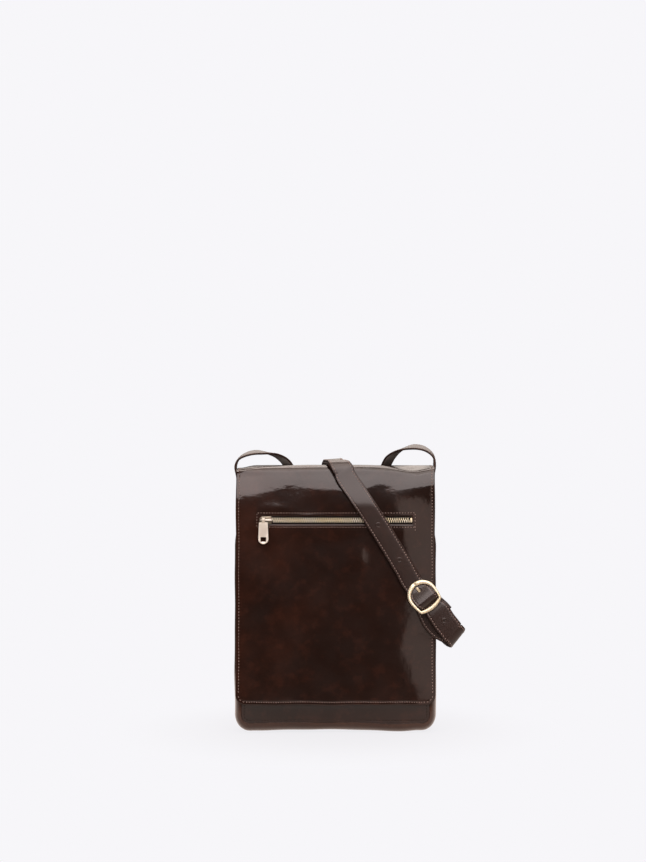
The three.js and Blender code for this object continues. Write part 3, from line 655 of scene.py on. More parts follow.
def make_flap_front():
    slot_top, slot_foot = s_at(ZIP_Z + SLOT_HALF), s_at(ZIP_Z - SLOT_HALF)
    rows = np.concatenate([
        spread(SEAM_S, slot_top - 9, 2.6), slot_top + np.array([-6.5, -4.6, -3.4, -2.2, -1.1, 0]),
        [slot_top + 3.9, slot_foot - 3.9], slot_foot + np.array([0, 1.1, 2.2, 3.4, 4.6, 6.5]),
        spread(slot_foot + 9, s_at(FLAP_LOW + 4), 5), spread(s_at(FLAP_LOW + 1), FOOT_S - 7, 2.2),
        FOOT_S - np.array([5.6, 4.4, 3.6, 2.9, 2.2, 1.5, 0.7, 0])])
    piece = flap_sheet("flap_front_leather", rows, True)
    arc = np.linspace(0, math.pi / 2, 14)
    reach = FLAP_CORNER - ROW_INSET
    side_s = np.linspace(SEAM_S + 2, s_at(FLAP_FOOT + FLAP_CORNER), 300)
    for sign in (-1, 1):
        edge_rows(piece, [(sign * (FLAP_HALF - ROW_INSET), side_s)])
        # the row follows the rounded corner, at an even distance from the edge
        corner_x = sign * (FLAP_HALF - FLAP_CORNER + reach * np.cos(arc))
        corner_z = FLAP_FOOT + FLAP_CORNER - reach * np.sin(arc)
        foot = foot_line(corner_x)
        flat_z = FLAP_FOOT + (corner_z - foot) * (FLAP_LOW - FLAP_FOOT) / (FLAP_LOW - foot)
        edge_rows(piece, [(corner_x, np.array([s_at(z) for z in flat_z]))])
    edge_rows(piece, [(np.linspace(-115, 115, 200), FOOT_S - ROW_INSET)], 3.1, 0.35)
    # the zip pocket is stitched round its slot
    box_left, box_right = -101.0, 102.6
    box_top, box_foot = s_at(281.6), s_at(263.4)
    box_x = np.linspace(box_left, box_right, 160)
    edge_rows(piece, [
        (box_x, box_top), (box_x, box_foot),
        (box_left, np.linspace(box_top, box_foot, 20)), (box_right, np.linspace(box_top, s_at(257.6), 20)),
    ], 3.6)
    piece.make(["flap_leather", "flap_top", "zip_pocket_pouch"], "flap_bridge", "flap_front", **OVER_EDGE)


def make_flap_linings():
    front = Piece("flap_front_lining", "lining_cloth", CLOTH, THREAD)
    cols = np.linspace(-FLAP_HALF + 1.6, FLAP_HALF - 1.6, 60)
    rows = np.linspace(SEAM_S + 3, FOOT_S - 1.8, 90)
    x, s = np.meshgrid(cols, rows)
    near = edge_distance(x, s)
    deep = lerp(2.5, 4.35, smooth(0, 9, near))[..., None]
    points = flap_point(x, s) - flap_normal(x, s) * deep
    sheet(front, points, grid(*x.shape), CLOTH_THICK, CLOTH_LOOKS, 0.3)
    front.make(["flap_lining"], "flap_bridge", "flap_front", **OVER_EDGE)

    top = Piece("flap_top_lining_cloth", "lining_cloth", CLOTH)
    x, y = np.meshgrid(np.linspace(-125, 125, 50), np.linspace(33, SEAM_Y - 2, 12))
    s = s_on_top(y)
    points = flap_point(x, s) - flap_normal(x, s) * 2.6
    sheet(top, points, grid(*x.shape), CLOTH_THICK, CLOTH_LOOKS, 0.3)
    top.make(["flap_top_lining"], "flap_bridge")


# ------------------------ the body of the bag
PANEL_HALF, PANEL_FOOT, PANEL_CORNER = 120.0, 12.0, 10.0


def base_slack(x):
    """How far the soft base lifts along the bag."""
    return 1.5 * (1 + waves(x, 0, 77, 60)) * smooth(122, 100, np.abs(x))


def panel(name, node, top, to_place, flip):
    piece = Piece(name, "leather", *LEATHER_LOOKS, THREAD)
    edge = np.array([0, 0.8, 1.6, 2.4, 3.2, 4, 5, 7, 10, 14])
    xs = np.concatenate([-PANEL_HALF + edge, spread(-100, 100, 8), (PANEL_HALF - edge)[::-1]])
    zs = np.concatenate([np.linspace(top, PANEL_FOOT + 26, 44), PANEL_FOOT + (edge * 1.7)[::-1]])
    x, z = np.meshgrid(xs, zs)
    corner = np.clip(np.abs(x) - (PANEL_HALF - PANEL_CORNER), 0, PANEL_CORNER)
    foot = PANEL_FOOT + PANEL_CORNER - np.sqrt(PANEL_CORNER ** 2 - corner ** 2)
    knee = PANEL_FOOT + 24
    z = np.where(z < knee, foot + (z - PANEL_FOOT) * (knee - foot) / (knee - PANEL_FOOT), z)
    near = np.minimum(PANEL_HALF - np.abs(x), z - foot)
    drop = 3.2 * smooth(top - 24, top, z) * smooth(-102, -118, x)
    points = to_place(x, z + base_slack(x) * smooth(40, 16, z) - drop, 0.35 * (waves(x, z, 31, 60) - 1))
    sheet(piece, points, grid(*x.shape, flip=flip), 2.0, LEATHER_LOOKS, 0.7, groove(near, 3.0, 0.3))
    inset, sunk = 3, 0.1
    reach = PANEL_CORNER - inset
    arc = np.linspace(math.pi, 1.5 * math.pi, 12)
    left_x = np.concatenate([np.full(120, -PANEL_HALF + inset),
                             -PANEL_HALF + PANEL_CORNER + reach * np.cos(arc)])
    left_z = np.concatenate([np.linspace(top - 1, PANEL_FOOT + PANEL_CORNER, 120),
                             PANEL_FOOT + PANEL_CORNER + reach * np.sin(arc)])
    path_x, path_z = np.concatenate([left_x, -left_x[::-1]]), np.concatenate([left_z, left_z[::-1]])
    path = to_place(path_x, path_z + base_slack(path_x) * smooth(40, 16, path_z), -sunk)
    stitches(piece, path, (0, 1.0, 0) if flip else OUT_OF_PANEL, radius=0.35, look=EDGE)
    piece.make([node], "bag")


def make_gusset():
    """The gusset runs down one side, along the base and up the other side."""
    piece = Piece("gusset_leather", "leather", *LEATHER_LOOKS, THREAD)
    # each place is x, z and the way out of the bag
    left = [(-PANEL_HALF, z, -1.0, 0.0) for z in spread(22, 336, 6)[::-1]]
    left += [(-PANEL_HALF + PANEL_CORNER * (1 - math.cos(a)), PANEL_FOOT + PANEL_CORNER * (1 - math.sin(a)),
              -math.cos(a), -math.sin(a)) for a in np.linspace(0, math.pi / 2, 11)[1:]]
    base = [(x, PANEL_FOOT, 0.0, -1.0) for x in spread(-110, 110, 5)[1:-1]]
    path = np.array(left + base + [(-x, z, -nx, nz) for x, z, nx, nz in left[::-1]])
    run = run_along(path[:, :2])
    half_u = np.array([0, 0.03, 0.06, 0.1, 0.15, 0.22, 0.32, 0.42])
    u = np.concatenate([half_u, [0.5], (1 - half_u)[::-1]])
    share = (1 - np.abs(2 * u - 1) ** 3.2) ** 0.62
    rows = []
    for k, (x, z, nx, nz) in enumerate(path):
        bulge = lerp(9, 5.6, float(smooth(236, 270, z))) * nx * nx + 12 * nz * nz
        uneven = 1 - (0.5 + 0.5 * waves(run[k], u * 40, 17, 70)) * (0.14 * nx * nx + 0.2 * nz * nz)
        y0, y1 = front_y(z, -2.2), BACK_Y - 2.2
        h = share * bulge * uneven
        if nz < -0.5:
            h = np.minimum(h + (0.25 * share if nz < -0.9 else 0), 11.9)
        lift = float(base_slack(x)) * nz * nz
        rows.append(np.stack([x + nx * h, y0 + u * (y1 - y0), z + nz * h + lift], -1))
    rows = np.array(rows)
    sink = np.tile(groove(np.minimum(u, 1 - u) * 55, 4.2, 0.3), len(rows))
    faces = grid(len(rows), len(u))
    sheet(piece, rows, faces, LEATHER, LEATHER_LOOKS, 0.7, sink)
    normals = face_normals(rows.reshape(-1, 3), faces).reshape(rows.shape)
    for column in (3, len(u) - 4):
        out = normals[:, column]
        stitches(piece, rows[:, column] + out * 0.1, out, radius=0.35, look=EDGE)
    piece.make(["gusset_left", "gusset_right"], "bag")


def make_lining():
    """A cloth box with slack folds."""
    piece = Piece("lining_cloth_box", "lining_cloth", CLOTH, THREAD)
    half, foot, top, corner = 117.0, 15.6, 328.0, 9.0
    rings = []
    round_corner = foot + corner * (1 - np.sin(np.linspace(0, math.pi / 2, 6)[1:]))
    for z in (*np.linspace(top, foot + corner, 46), *round_corner):
        drop = max(foot + corner - z, 0)
        w = half - (corner - math.sqrt(max(corner ** 2 - drop ** 2, 0)))
        y0, y1 = front_y(z, -2.4), BACK_Y - 2.4
        across, deep = np.linspace(-w, w, 44), np.linspace(y0, y1, 12)[1:-1]
        x = np.concatenate([across, np.full(10, w), across[::-1], np.full(10, -w)])
        y = np.concatenate([np.full(44, y0), deep, np.full(44, y1), deep[::-1]])
        height = np.full(len(x), z)
        slack = (0.6 + 0.6 * waves(x, height + 3 * y, 41, 45)) * smooth(top, top - 14, z)
        rings.append(np.stack([x, y - np.sign(y - (y0 + y1) / 2) * slack, height], 1))
    lowest = rings[-1]
    middle = lowest[:, 1].mean()
    count = len(lowest)
    for part in (0.6, 0.2, 0.01):
        rings.append(np.stack([lowest[:, 0], lerp(middle, lowest[:, 1], part), np.full(count, foot)], 1))
    faces = [(r + c, r + c + count, r + count + (c + 1) % count, r + (c + 1) % count)
             for r in range(0, (len(rings) - 1) * count, count) for c in range(count)]
    sheet(piece, rings, faces, CLOTH_THICK, CLOTH_LOOKS, 0.3)
    piece.make(["lining"], "bag", sharp=70)


def make_slip_pocket():
    """A pocket on the lining's back wall, slack at its mouth."""
    half, foot, mouth = 85, 150, 275

    def at_depth(x, z, depth):
        slack = 5.4 * (1 - np.abs(x / half) ** 6) * smooth(foot, foot + 26, z)
        slack = slack * lerp(0.75, 1.0, smooth(200, mouth, z))
        return np.stack([x, depth - slack - 0.3 * (1 + waves(x, z, 51, 40)) * (1 - (x / half) ** 4), z], -1)

    piece = Piece("slip_pocket_cloth", "lining_cloth", CLOTH, THREAD)
    x, z = np.meshgrid(np.linspace(-half, half, 40), np.linspace(mouth, foot, 26))
    sheet(piece, at_depth(x, z, 33.6), grid(*x.shape), CLOTH_THICK, CLOTH_LOOKS, 0.35)
    side, across = np.linspace(mouth - 1, foot + 2, 60), np.linspace(2 - half, half - 2, 90)
    for line in ((2.0 - half, side), (half - 2.0, side), (across, foot + 2.0), (across, mouth - 3.0)):
        stitches(piece, at_depth(*np.broadcast_arrays(*line), 33.5), (0, -1.0, 0), 3.4, 2.4, 0.35)
    piece.make(["slip_pocket"], "bag")


def make_panels():
    def on_front(x, z, d):
        return np.stack([x, front_y(z, d), z + 0 * x], -1)

    def on_back(x, z, d):
        return np.stack([x, BACK_Y + d + 0 * x, z + 0 * x], -1)

    panel("front_panel_leather", "front_panel", 330.0, on_front, False)
    panel("back_panel_leather", "back_panel", 338.9, on_back, True)


# ------------------------ the zip
def on_panel(x, z, d):
    """A point at the distance d out from the front panel's face, with x and z in its leaning plane."""
    x, z, d = np.broadcast_arrays(x, z, d)
    return np.stack([x, FRONT_Y + z * math.sin(LEAN) - d * math.cos(LEAN),
                     z * math.cos(LEAN) + d * math.sin(LEAN)], -1)


def squared(count, power_x, power_z):
    """An outline from -1 to 1 that goes from round to square as its two powers go from 1 to 0."""
    turns = np.linspace(0, 2 * math.pi, count, endpoint=False)
    sides = ((np.cos(turns), power_x), (np.sin(turns), power_z))
    return [np.sign(v) * np.abs(v) ** power for v, power in sides]


def make_tapes():
    piece = Piece("zip_tape_cloth", "zip_tape", TAPE)
    for ends in ((ZIP_Z + 11, ZIP_Z + 0.3), (ZIP_Z - 0.3, ZIP_Z - 11)):
        x, z = np.meshgrid(np.linspace(SLOT_LEFT - 5, SLOT_RIGHT + 5, 90), np.linspace(*ends, 8))
        points = on_panel(x, z, 6.05 - 0.12 * (1 + waves(x, z, 61, 30)))
        sheet(piece, points, grid(*x.shape), 0.5, (TAPE, TAPE, TAPE), 0.2)
    piece.make(["zip_tape_upper", "zip_tape_lower"], "flap_front")


def make_teeth():
    """Two rows of small cushioned blocks, each row on its bead, and the end stop."""
    piece = Piece("zip_teeth", "brass", TOOTH, TAPE)
    block_x, block_z = squared(12, 0.45, 0.45)

    def block(x, z, half_x, half_z, sections):
        """Each section is the block's share of its size in x and in z, and its depth."""
        rings = [on_panel(x + block_x * half_x * k, z + block_z * half_z * m, d) for k, m, d in sections]
        loft(piece, rings, TOOTH)

    first_x, stop_x, pitch, count = -81, 97.4, 2.8, 63
    for side in (1, -1):
        start = first_x + (0 if side > 0 else pitch / 2)
        for i in range(count):
            block(start + i * pitch + 0.53, ZIP_Z + side * 1.4, 0.6, 1.7,
                  ((0.9, 0.9, 6.5), (1, 1, 7.0), (1, 1, 8.6), (0.8, 0.92, 8.85)))
        x = np.linspace(start, start + count * pitch, 80)
        tube(piece, on_panel(x, ZIP_Z + side * 3.3, 6.9), 0.7, TAPE, 8, across=(0, 0, 1))
    block(stop_x, ZIP_Z, 1.3, 2.9, ((0.8, 0.8, 6.8), (1, 1, 7.2), (1, 1, 8.4), (0.8, 0.8, 8.8)))
    piece.make(["zip_teeth_upper", "zip_teeth_lower", "zip_end_stop"], "flap_front")


def make_slider():
    """A crowned plate, two side flanges and a bridge."""
    piece = Piece("zip_slider_metal", "pale_metal", PALE, SHADED)
    out_x, out_z = squared(40, 0.55, 0.6)
    waist = 0.94 - 0.12 * (out_x > 0) * np.abs(out_x)
    rings = [on_panel(SLIDER_X - 0.5 + out_x * 8.5 * k, ZIP_Z + out_z * 4.4 * k * waist, d)
             for k, d in ((0.9, 9.0), (1, 9.35), (1, 9.95), (0.93, 10.2), (0.6, 10.45))]
    loft(piece, rings, SHADED)
    for side in (-1, 1):
        x = np.linspace(SLIDER_X - 5.6, SLIDER_X + 6.4, 10)
        tube(piece, on_panel(x, ZIP_Z + side * 4.1, 8.4), 0.9, SHADED, 8, across=(0, 0, 1), flat=0.5)
    arch = np.linspace(0, math.pi, 24)
    x = SLIDER_X + 6.9 * np.sign(np.cos(arch)) * np.abs(np.cos(arch)) ** 0.5
    base = 10.05
    d = base + (BRIDGE_OUT + 0.2 - base) * np.sin(arch) ** 0.5
    tube(piece, on_panel(x, ZIP_Z, d), 1.05, PALE, 12, across=(0, 0, 1))
    piece.make(["zip_slider_body"], "zip_slider")


def make_pull():
    """A plate with a round end and a square hole, hung from the bridge by an eye."""
    piece = Piece("zip_pull_metal", "pale_metal", PALE)
    top_half, foot_half, long, neck = 5.6, 6.6, 24.2, 2.6
    pull_x, straight = SLIDER_X - 3.5, long - neck
    turns = np.linspace(0, 2 * math.pi, 72, endpoint=False)
    way = np.stack([np.cos(turns), np.sin(turns)], 1)
    upper = way[:, 1] > 0
    wide, high = np.maximum(np.abs(way), 1e-6).T
    taper = (foot_half - top_half) / straight
    reach = np.where(upper, np.minimum(straight / high, foot_half / (wide + taper * high)), foot_half)
    outline = way * reach[:, None]
    hole = way * np.minimum(3.45 / wide, np.where(upper, 2.4, 3.5) / high)[:, None]
    rim, lip = outline - unit(outline) * 0.35, hole + unit(hole) * 0.5
    layers = [(outline, 0.35), (rim, 0.85), (lip, 0.95), (hole, 0.6),
              (hole, -0.6), (lip, -0.95), (rim, -0.85), (outline, -0.35)]
    rings = [on_panel(pull_x + ring[:, 0], ZIP_Z - long + ring[:, 1], BRIDGE_OUT + d) for ring, d in layers]
    loft(piece, rings, PALE, ring_loop=True, flip=True)
    eye, turns = 2.7, np.linspace(0, 2 * math.pi, 25)
    for shift in (-1.2, 0, 1.2):
        centre = on_panel(pull_x + shift, ZIP_Z + eye * np.cos(turns), BRIDGE_OUT + eye * np.sin(turns))
        tube(piece, centre, 0.72, PALE, 8, round_ends=False)
    piece.make(["zip_pull_tab"], "zip_pull", sharp=40)


# ------------------------ the buckle
TURN, TILT = math.radians(51), math.radians(11.2)
UP_PANEL = np.array([0, math.sin(LEAN), math.cos(LEAN)])
X_AXIS = np.array([1.0, 0, 0])
ACROSS = X_AXIS * math.sin(TURN) + UP_PANEL * math.cos(TURN)
FLAT_DOWN = X_AXIS * math.cos(TURN) - UP_PANEL * math.sin(TURN)
DOWN = FLAT_DOWN * math.cos(TILT) + OUT_OF_PANEL * math.sin(TILT)
OUT = OUT_OF_PANEL * math.cos(TILT) - FLAT_DOWN * math.sin(TILT)
BUCKLE_AT = np.array([112.0, front_y(176.5, 20.9), 176.5])
BAR_U, BAR_DROP, BAR_RADIUS, SKIVED = 6.0, 2.5, 1.3, 1.5


def in_buckle(points):
    """From the buckle's own axes (across, into the bag, up the strap) to the bag's."""
    p = np.asarray(points, float)
    return BUCKLE_AT + p[..., :1] * ACROSS - p[..., 1:2] * OUT - p[..., 2:3] * DOWN


def horseshoe(half, arc_z, arc_height, foot_half, foot_z, bow_z):
    """An outline of 96 points, in x and z: an arc at the top, sides that draw in, and a bowed foot."""
    def bend(*points):
        a, b, c = (np.array(p, float) for p in points)
        t = np.linspace(0, 1, 16, endpoint=False)[:, None]
        return a * (1 - t) ** 2 + 2 * b * t * (1 - t) + c * t * t

    turn = np.linspace(0, math.pi, 48, endpoint=False)[:, None]
    side_z = (foot_z + arc_z) / 2
    return np.vstack([
        bend((-foot_half, foot_z), (0, 2 * bow_z - foot_z), (foot_half, foot_z)),
        bend((foot_half, foot_z), (half, side_z), (half, arc_z)),
        np.hstack([half * np.cos(turn), arc_z + arc_height * np.sin(turn)]),
        bend((-half, arc_z), (-half, side_z), (-foot_half, foot_z)),
    ])


def make_frame():
    piece = Piece("buckle_frame_metal", "brass", BRASS)
    outer = horseshoe(19.25, 2, 19, 16.5, -16.5, -21)
    inner = horseshoe(15.2, 1.5, 13.7, 14.2, -13.6, -16)
    # the section's points: the share of the way from the outer to the inner outline, and the depth
    section = [(0.0, 0.4), (0.02, -0.3), (0.09, -1.0), (0.22, -1.4), (0.5, -1.65), (0.78, -1.4), (0.91, -1.0),
               (0.98, -0.3), (1.0, 0.4), (0.95, 1.1), (0.8, 1.5), (0.5, 1.6), (0.2, 1.5), (0.05, 1.1)]
    rings = []
    for a, b in zip(outer, inner):
        mid = (a + b) / 2
        # the arc is filed away where the prong rests on it
        notch = math.exp(-((mid[0] / 2.1) ** 2)) if mid[1] > 8 else 0.0
        ring = []
        for t, y in section:
            if notch > 0.01 and t > 0.5:
                t = t - 0.16 * notch * (t - 0.5) * 2
            x, z = lerp(a, b, t)
            ring.append((x, y * (1 - 0.55 * notch) if y < 0 else y, z))
        rings.append(in_buckle(ring))
    loft(piece, rings, BRASS, ring_loop=True)
    half_bar = [(16.4, 1.0), (15.4, 2.1), (13.8, BAR_DROP)]
    bar = [(-x, y) for x, y in half_bar] + [(0, BAR_DROP)] + half_bar[::-1]
    path, _ = spline([(x, y, -BAR_U) for x, y in bar], np.linspace(0, 6, 31))
    tube(piece, in_buckle(path), BAR_RADIUS, BRASS, 12, across=OUT)
    piece.make(["buckle_frame"], "buckle", sharp=60)


def make_prong():
    piece = Piece("buckle_prong_metal", "brass", BRASS)
    shank = [(1.3, -4.4), (1.7, -2.0), (2.0, 1.5), (1.9, 5.0), (0.7, 8.2), (-0.5, 10.6), (-1.1, 12.8)]
    path, _ = spline([(0, y, z) for y, z in shank], np.linspace(0, 6, 37))
    radii = np.interp(np.linspace(0, 1, 37), [0, 0.2, 0.75, 1], [1.75, 1.75, 1.7, 1.45])
    tube(piece, in_buckle(path), radii, BRASS, 14, across=ACROSS, flat=0.62)
    turn = np.linspace(0, 2 * math.pi, 29)
    for shift in (-0.95, 0.0, 0.95):
        ring = np.stack([np.full(29, shift), BAR_DROP + 2.4 * np.cos(turn), -BAR_U + 2.4 * np.sin(turn)], -1)
        tube(piece, in_buckle(ring), 0.72, BRASS, 8, across=ACROSS, round_ends=False)
    piece.make(["buckle_prong"], "prong", sharp=60)


# ------------------------ the shoulder strap
INNER_LAYER = FLAP_OUT + 0.8 + STRAP_THICK / 2
OUTER_LAYER = INNER_LAYER + STRAP_THICK + 0.3
INNER_RISE = 0.65 + STRAP_THICK / 2
OUTER_RISE = INNER_RISE + STRAP_THICK + 0.4
FLAT = (0.83, 0.03, 0.56)
LEVEL = (1, 0, 0)
EDGE_Y = front_y(FLAP_TOP, FLAP_OUT)
CROSS_X, TOP_SLOPE, ROLL = 3.4, 0.1, 7.5
DIAGONAL = ((13.4, 329), (29.8, 304.5), (54.5, 266.4))      # both straps cross the flap here, in x and z


def on_flap(x, z, d, wide=FLAT):
    return (x, front_y(z, d), z, *wide)


def at_buckle(down, out, aside=0.0, thick=STRAP_THICK):
    p = BUCKLE_AT + DOWN * down + OUT * out + ACROSS * aside
    return (*p, *ACROSS, thick)


def over_the_top(rise):
    """Stops over the top of the bag and round the soft roll of its front edge."""
    stops = [(CROSS_X - TOP_SLOPE * (y - EDGE_Y), y, FLAP_TOP + rise, *LEVEL) for y in (38, 24, SEAM_Y, -4)]
    centre_y = front_y(FLAP_TOP - ROLL, FLAP_OUT - ROLL)
    start = CROSS_X - TOP_SLOPE * (centre_y - EDGE_Y)
    for part, skew in ((0, 0.1), (1 / 3, 0.24), (2 / 3, 0.42), (1, 0.58)):
        a = part * (math.pi / 2 - LEAN)
        sin, cos = math.sin(a), math.cos(a)
        stops.append((lerp(start, 10.8, part * (0.55 + 0.45 * part)), centre_y - (ROLL + rise) * sin,
                      FLAP_TOP - ROLL + (ROLL + rise) * cos, 1, skew * cos, skew * sin))
    return stops


def fold_stops(radius, lo, hi):
    stops = []
    for i in range(5):
        a = lerp(lo, hi, i / 4)
        reach, drift = radius * math.sin(a), (3.1 if a < 1.5 else 0.9) * math.cos(a)
        stops.append(on_flap(149 + 0.78 * reach + 0.63 * drift, 126.5 - 0.63 * reach + 0.78 * drift,
                             15.6 + radius * math.cos(a), (0.63, 0.05, 0.78)))
    return stops


def bar_stops():
    radius = BAR_RADIUS + 0.3 + SKIVED / 2
    return [at_buckle(BAR_U - radius * math.sin(a), -BAR_DROP - radius * math.cos(a), 0, SKIVED)
            for a in (i / 4 * math.pi for i in range(5))]


# each stop is a place, the way across the strap, and in a few cases its thickness
HANGING = 55.5          # how far back the straps hang behind the bag
LONG_STRAP = [
    (-127.0, 21, 274, 0, 1, 0), (-127.6, 21, 300, 0, 1, 0), (-ANCHOR_X - 0.3, 21, 325, 0, 1, 0),
    (-130.2, 21, 341, 0, 1, 0), (-126, 22, 350.5, 0, 1, 0.05),
    (-113.5, 25, 357.2, -0.1, 1, 0.12), (-99, 30, 359, -0.25, 0.97, 0.15), (-82, 38.5, 356.5, -0.45, 0.9, 0),
    (-70, 47, 350.5, -0.52, 0.86, 0), (-62, 54, 340.5, -0.5, 0.86, 0), (-60, HANGING, 325, -0.1, 1, 0),
    *[(x, HANGING, z, 0, 1, 0) for x, z in (
        (-60.5, 300), (-58, 274), (-50, 255), (-34, 246), (-18, 254), (-9, 273), (-6.5, 298))],
    (-6.5, 56, 318, 0.15, 1, 0), (-7, 56, 332, 0.5, 0.87, 0), (-6.5, 54.5, 341.5, 0.85, 0.5, 0.05),
    (-3.5, 48, FLAP_TOP + OUTER_RISE + 0.4, 0.97, 0.24, 0.1),
    *over_the_top(OUTER_RISE),
    *[on_flap(x, z, OUTER_LAYER) for x, z in (*DIAGONAL, (87.9, 211.7))],
    *[at_buckle(*stop) for stop in (
        (-25, -2.6), (-18, -3.5), (-9.5, -2.5), (-3, 0.1), (2.5, 1.5), (6.8, 1.9, 0.2), (10.2, 0.3, 0.7),
        (13.5, -3.3, 1.2), (19, -4.3, 1.9), (26, -4.6, 2.3))],
    on_flap(138, 145.6, 22.5, (0.74, 0.03, 0.67)), on_flap(145.2, 136.3, 23.5, (0.68, 0.03, 0.73)),
    *fold_stops(8, 0, math.pi),
    on_flap(143, 131.6, 7.6, (0.6, 0.03, 0.8)),
]
SHORT_STRAP = [
    (127.0, 21, 274, 0, 1, 0), (127.6, 21, 300, 0, 1, 0), (ANCHOR_X + 0.3, 21, 325, 0, 1, 0),
    (130, 21, 342, 0, 1, 0), (128.5, 22.5, 354, 0.05, 1, 0.08),
    (117.5, 26, 363.5, 0.1, 0.98, 0.15), (101, 31, 366, 0.25, 0.96, 0.2), (85, 38.5, 361.5, 0.42, 0.9, 0.1),
    (74, 47, 353, 0.5, 0.86, 0), (67.5, 54.5, 341, 0.5, 0.86, 0), (62.5, HANGING, 327, 0.1, 1, 0),
    *[(x, HANGING, z, 0, 1, 0) for x, z in ((60, 306), (54, 284), (42, 269), (28, 265), (15, 274), (7, 295))],
    (4.5, HANGING, 319, 0.15, 1, 0), (2, 54, 332, 0.5, 0.87, 0), (1, 51.5, 340, 0.85, 0.5, 0.05),
    (1, 46, FLAP_TOP + INNER_RISE + 0.4, 0.97, 0.24, 0.1),
    *over_the_top(INNER_RISE),
    *[on_flap(x, z, INNER_LAYER) for x, z in (*DIAGONAL, (84, 218))],
    *[on_flap(x, z, INNER_LAYER, (wide, 0.03, high)) for x, z, wide, high in (
        (98.5, 193.5, 0.85, 0.53), (110.5, 172, 0.85, 0.52), (118.5, 154.5, 0.87, 0.49),
        (124.5, 143, 0.78, 0.62), (134, 133, 0.68, 0.73))],
    *fold_stops(4.9, math.pi, 0),
    on_flap(144.4, 136.2, 20.3, (0.68, 0.03, 0.73)), on_flap(137.6, 146, 19.5, (0.74, 0.03, 0.67)),
    at_buckle(32, -9.9, 2.2, 2),
    *[at_buckle(*stop, SKIVED) for stop in ((26, -8.9, 3.6), (19, -8.4, 3.2), (13, -7.9, 1.8))],
    *bar_stops(),
    *[at_buckle(*stop, SKIVED) for stop in ((9, -2.1, 1.2), (13, -5.8, 2.6), (19, -6.5, 4.4), (26, -6.9, 5.6),
                                            (32.5, -7.5, 6))],
]
HALF_COLUMNS = np.array([0.17, 0.3, 0.55, 0.73, 0.8, 0.85, 0.9, 0.95, 1])
STRAP_COLUMNS = np.concatenate([-HALF_COLUMNS[::-1], [0], HALF_COLUMNS])


def buckle_spread(centre, places, fold):
    """The strap is pressed wider in the buckle's window and below it, and rounded at its fold."""
    off = centre - BUCKLE_AT
    down, high = off @ DOWN, off @ OUT
    front = (down > -14) & (high > -9)
    window = 2.0 * smooth(-9, -4, down) * smooth(13, 8, down)
    below = 2.0 * smooth(15, 27, down)
    rounded = 1.7 * np.exp(-(((places - fold) / 0.8) ** 2))
    return np.where(front | (places > fold - 2), window + below, 0) - rounded


def strap_line(stops, places):
    """The strap's middle at the places, the ways across and out of it, and its thickness."""
    centre, along = spline([s[:3] for s in stops], places)
    wide, thick = [], []
    for place in places:
        k = min(int(place), len(stops) - 2)
        a, b = ((*s, STRAP_THICK)[:7] for s in stops[k:k + 2])
        wide.append(unit(lerp(unit(a[3:6]), unit(b[3:6]), place - k)))
        thick.append([lerp(a[6], b[6], place - k)])
    out = np.cross(along, wide)
    return centre, wide / np.linalg.norm(out, axis=1)[:, None], unit(out), np.array(thick)


def ribbon(name, stops, lo, hi, prong_slot=(0, 0), open_lo=False, open_hi=False, stitch=0.5):
    """A length of strap with painted edges and a row of stitches along each of them."""
    places = np.linspace(lo, hi, int((hi - lo) * 9) + 1)
    line = strap_line(stops, places)
    centre, across, out, thick = line
    u = STRAP_COLUMNS
    half = np.full(len(places), STRAP_WIDTH / 2 - 0.7)
    if name.startswith("long"):
        half = half + buckle_spread(centre, places, len(stops) - 4)
    half = half[:, None]
    crown = 0.12 * (1 - u ** 2)
    points = (centre[:, None] + across[:, None] * (u * half)[..., None]
              + out[:, None] * (thick / 2 + crown)[..., None])
    piece = Piece(name, "strap_leather", STRAP_HIDE, EDGE, THREAD, HOLE)

    def skip(r, c):
        middle = (centre[r] + centre[r + 1]) / 2 - BUCKLE_AT
        down, off, height = middle @ DOWN, middle @ ACROSS, middle @ OUT
        inside = prong_slot[0] < down < prong_slot[1] and abs(off) < 4 and -9.5 < height < 8
        return inside and u[c] > -0.18 and u[c + 1] < 0.18

    bulge = np.full(points.shape[:2], 0.75)
    if open_lo:
        bulge[0] = 0
    if open_hi:
        bulge[-1] = 0
    total = thick + 2 * crown
    sheet(piece, points, grid(*bulge.shape, skip), total, (STRAP_HIDE, EDGE, STRAP_HIDE), bulge,
          groove((1 - np.abs(u)) * half, 1.8, 0.22, 0.6), np.repeat(out, len(u), 0))
    for side in (-1, 1):
        edge = centre + across * (side * (half - 1.8))
        stitches(piece, edge + out * (thick / 2 - 0.1), out, 3.8, radius=stitch)
        stitches(piece, edge - out * (thick / 2 - 0.05), -out, 3.8, radius=stitch)
    return piece, line


def ringed_hole(piece, line, spot):
    """A dark disc in a pressed ring stands for a punched hole. It is on the outer face near the spot (x, z)."""
    centre, across, out, thick = line
    gap = np.hypot(centre[:, 0] - spot[0], centre[:, 2] - spot[1]) + np.where(out[:, 1] < -0.5, 0, 999)
    i = int(np.argmin(gap))
    here = centre[i] + out[i] * (thick[i] / 2 + 0.12)
    side, up = unit(across[i]), out[i]
    turns = np.linspace(0, 2 * math.pi, 24, endpoint=False)[:, None]
    circle = side * np.cos(turns) + np.cross(up, side) * np.sin(turns)

    def surface(look, *rings, close_ends=True):
        loft(piece, [here + circle * r + up * h for r, h in rings], look, close_ends, flip=True)

    surface(STRAP_HIDE, (3.5, -0.1), (3.1, 0.22), (2.7, 0.3), (2.3, 0.15), (2.1, -0.12), close_ends=False)
    surface(HOLE, (2.12, -0.11), (1.6, -0.03), (0.1, 0.03))


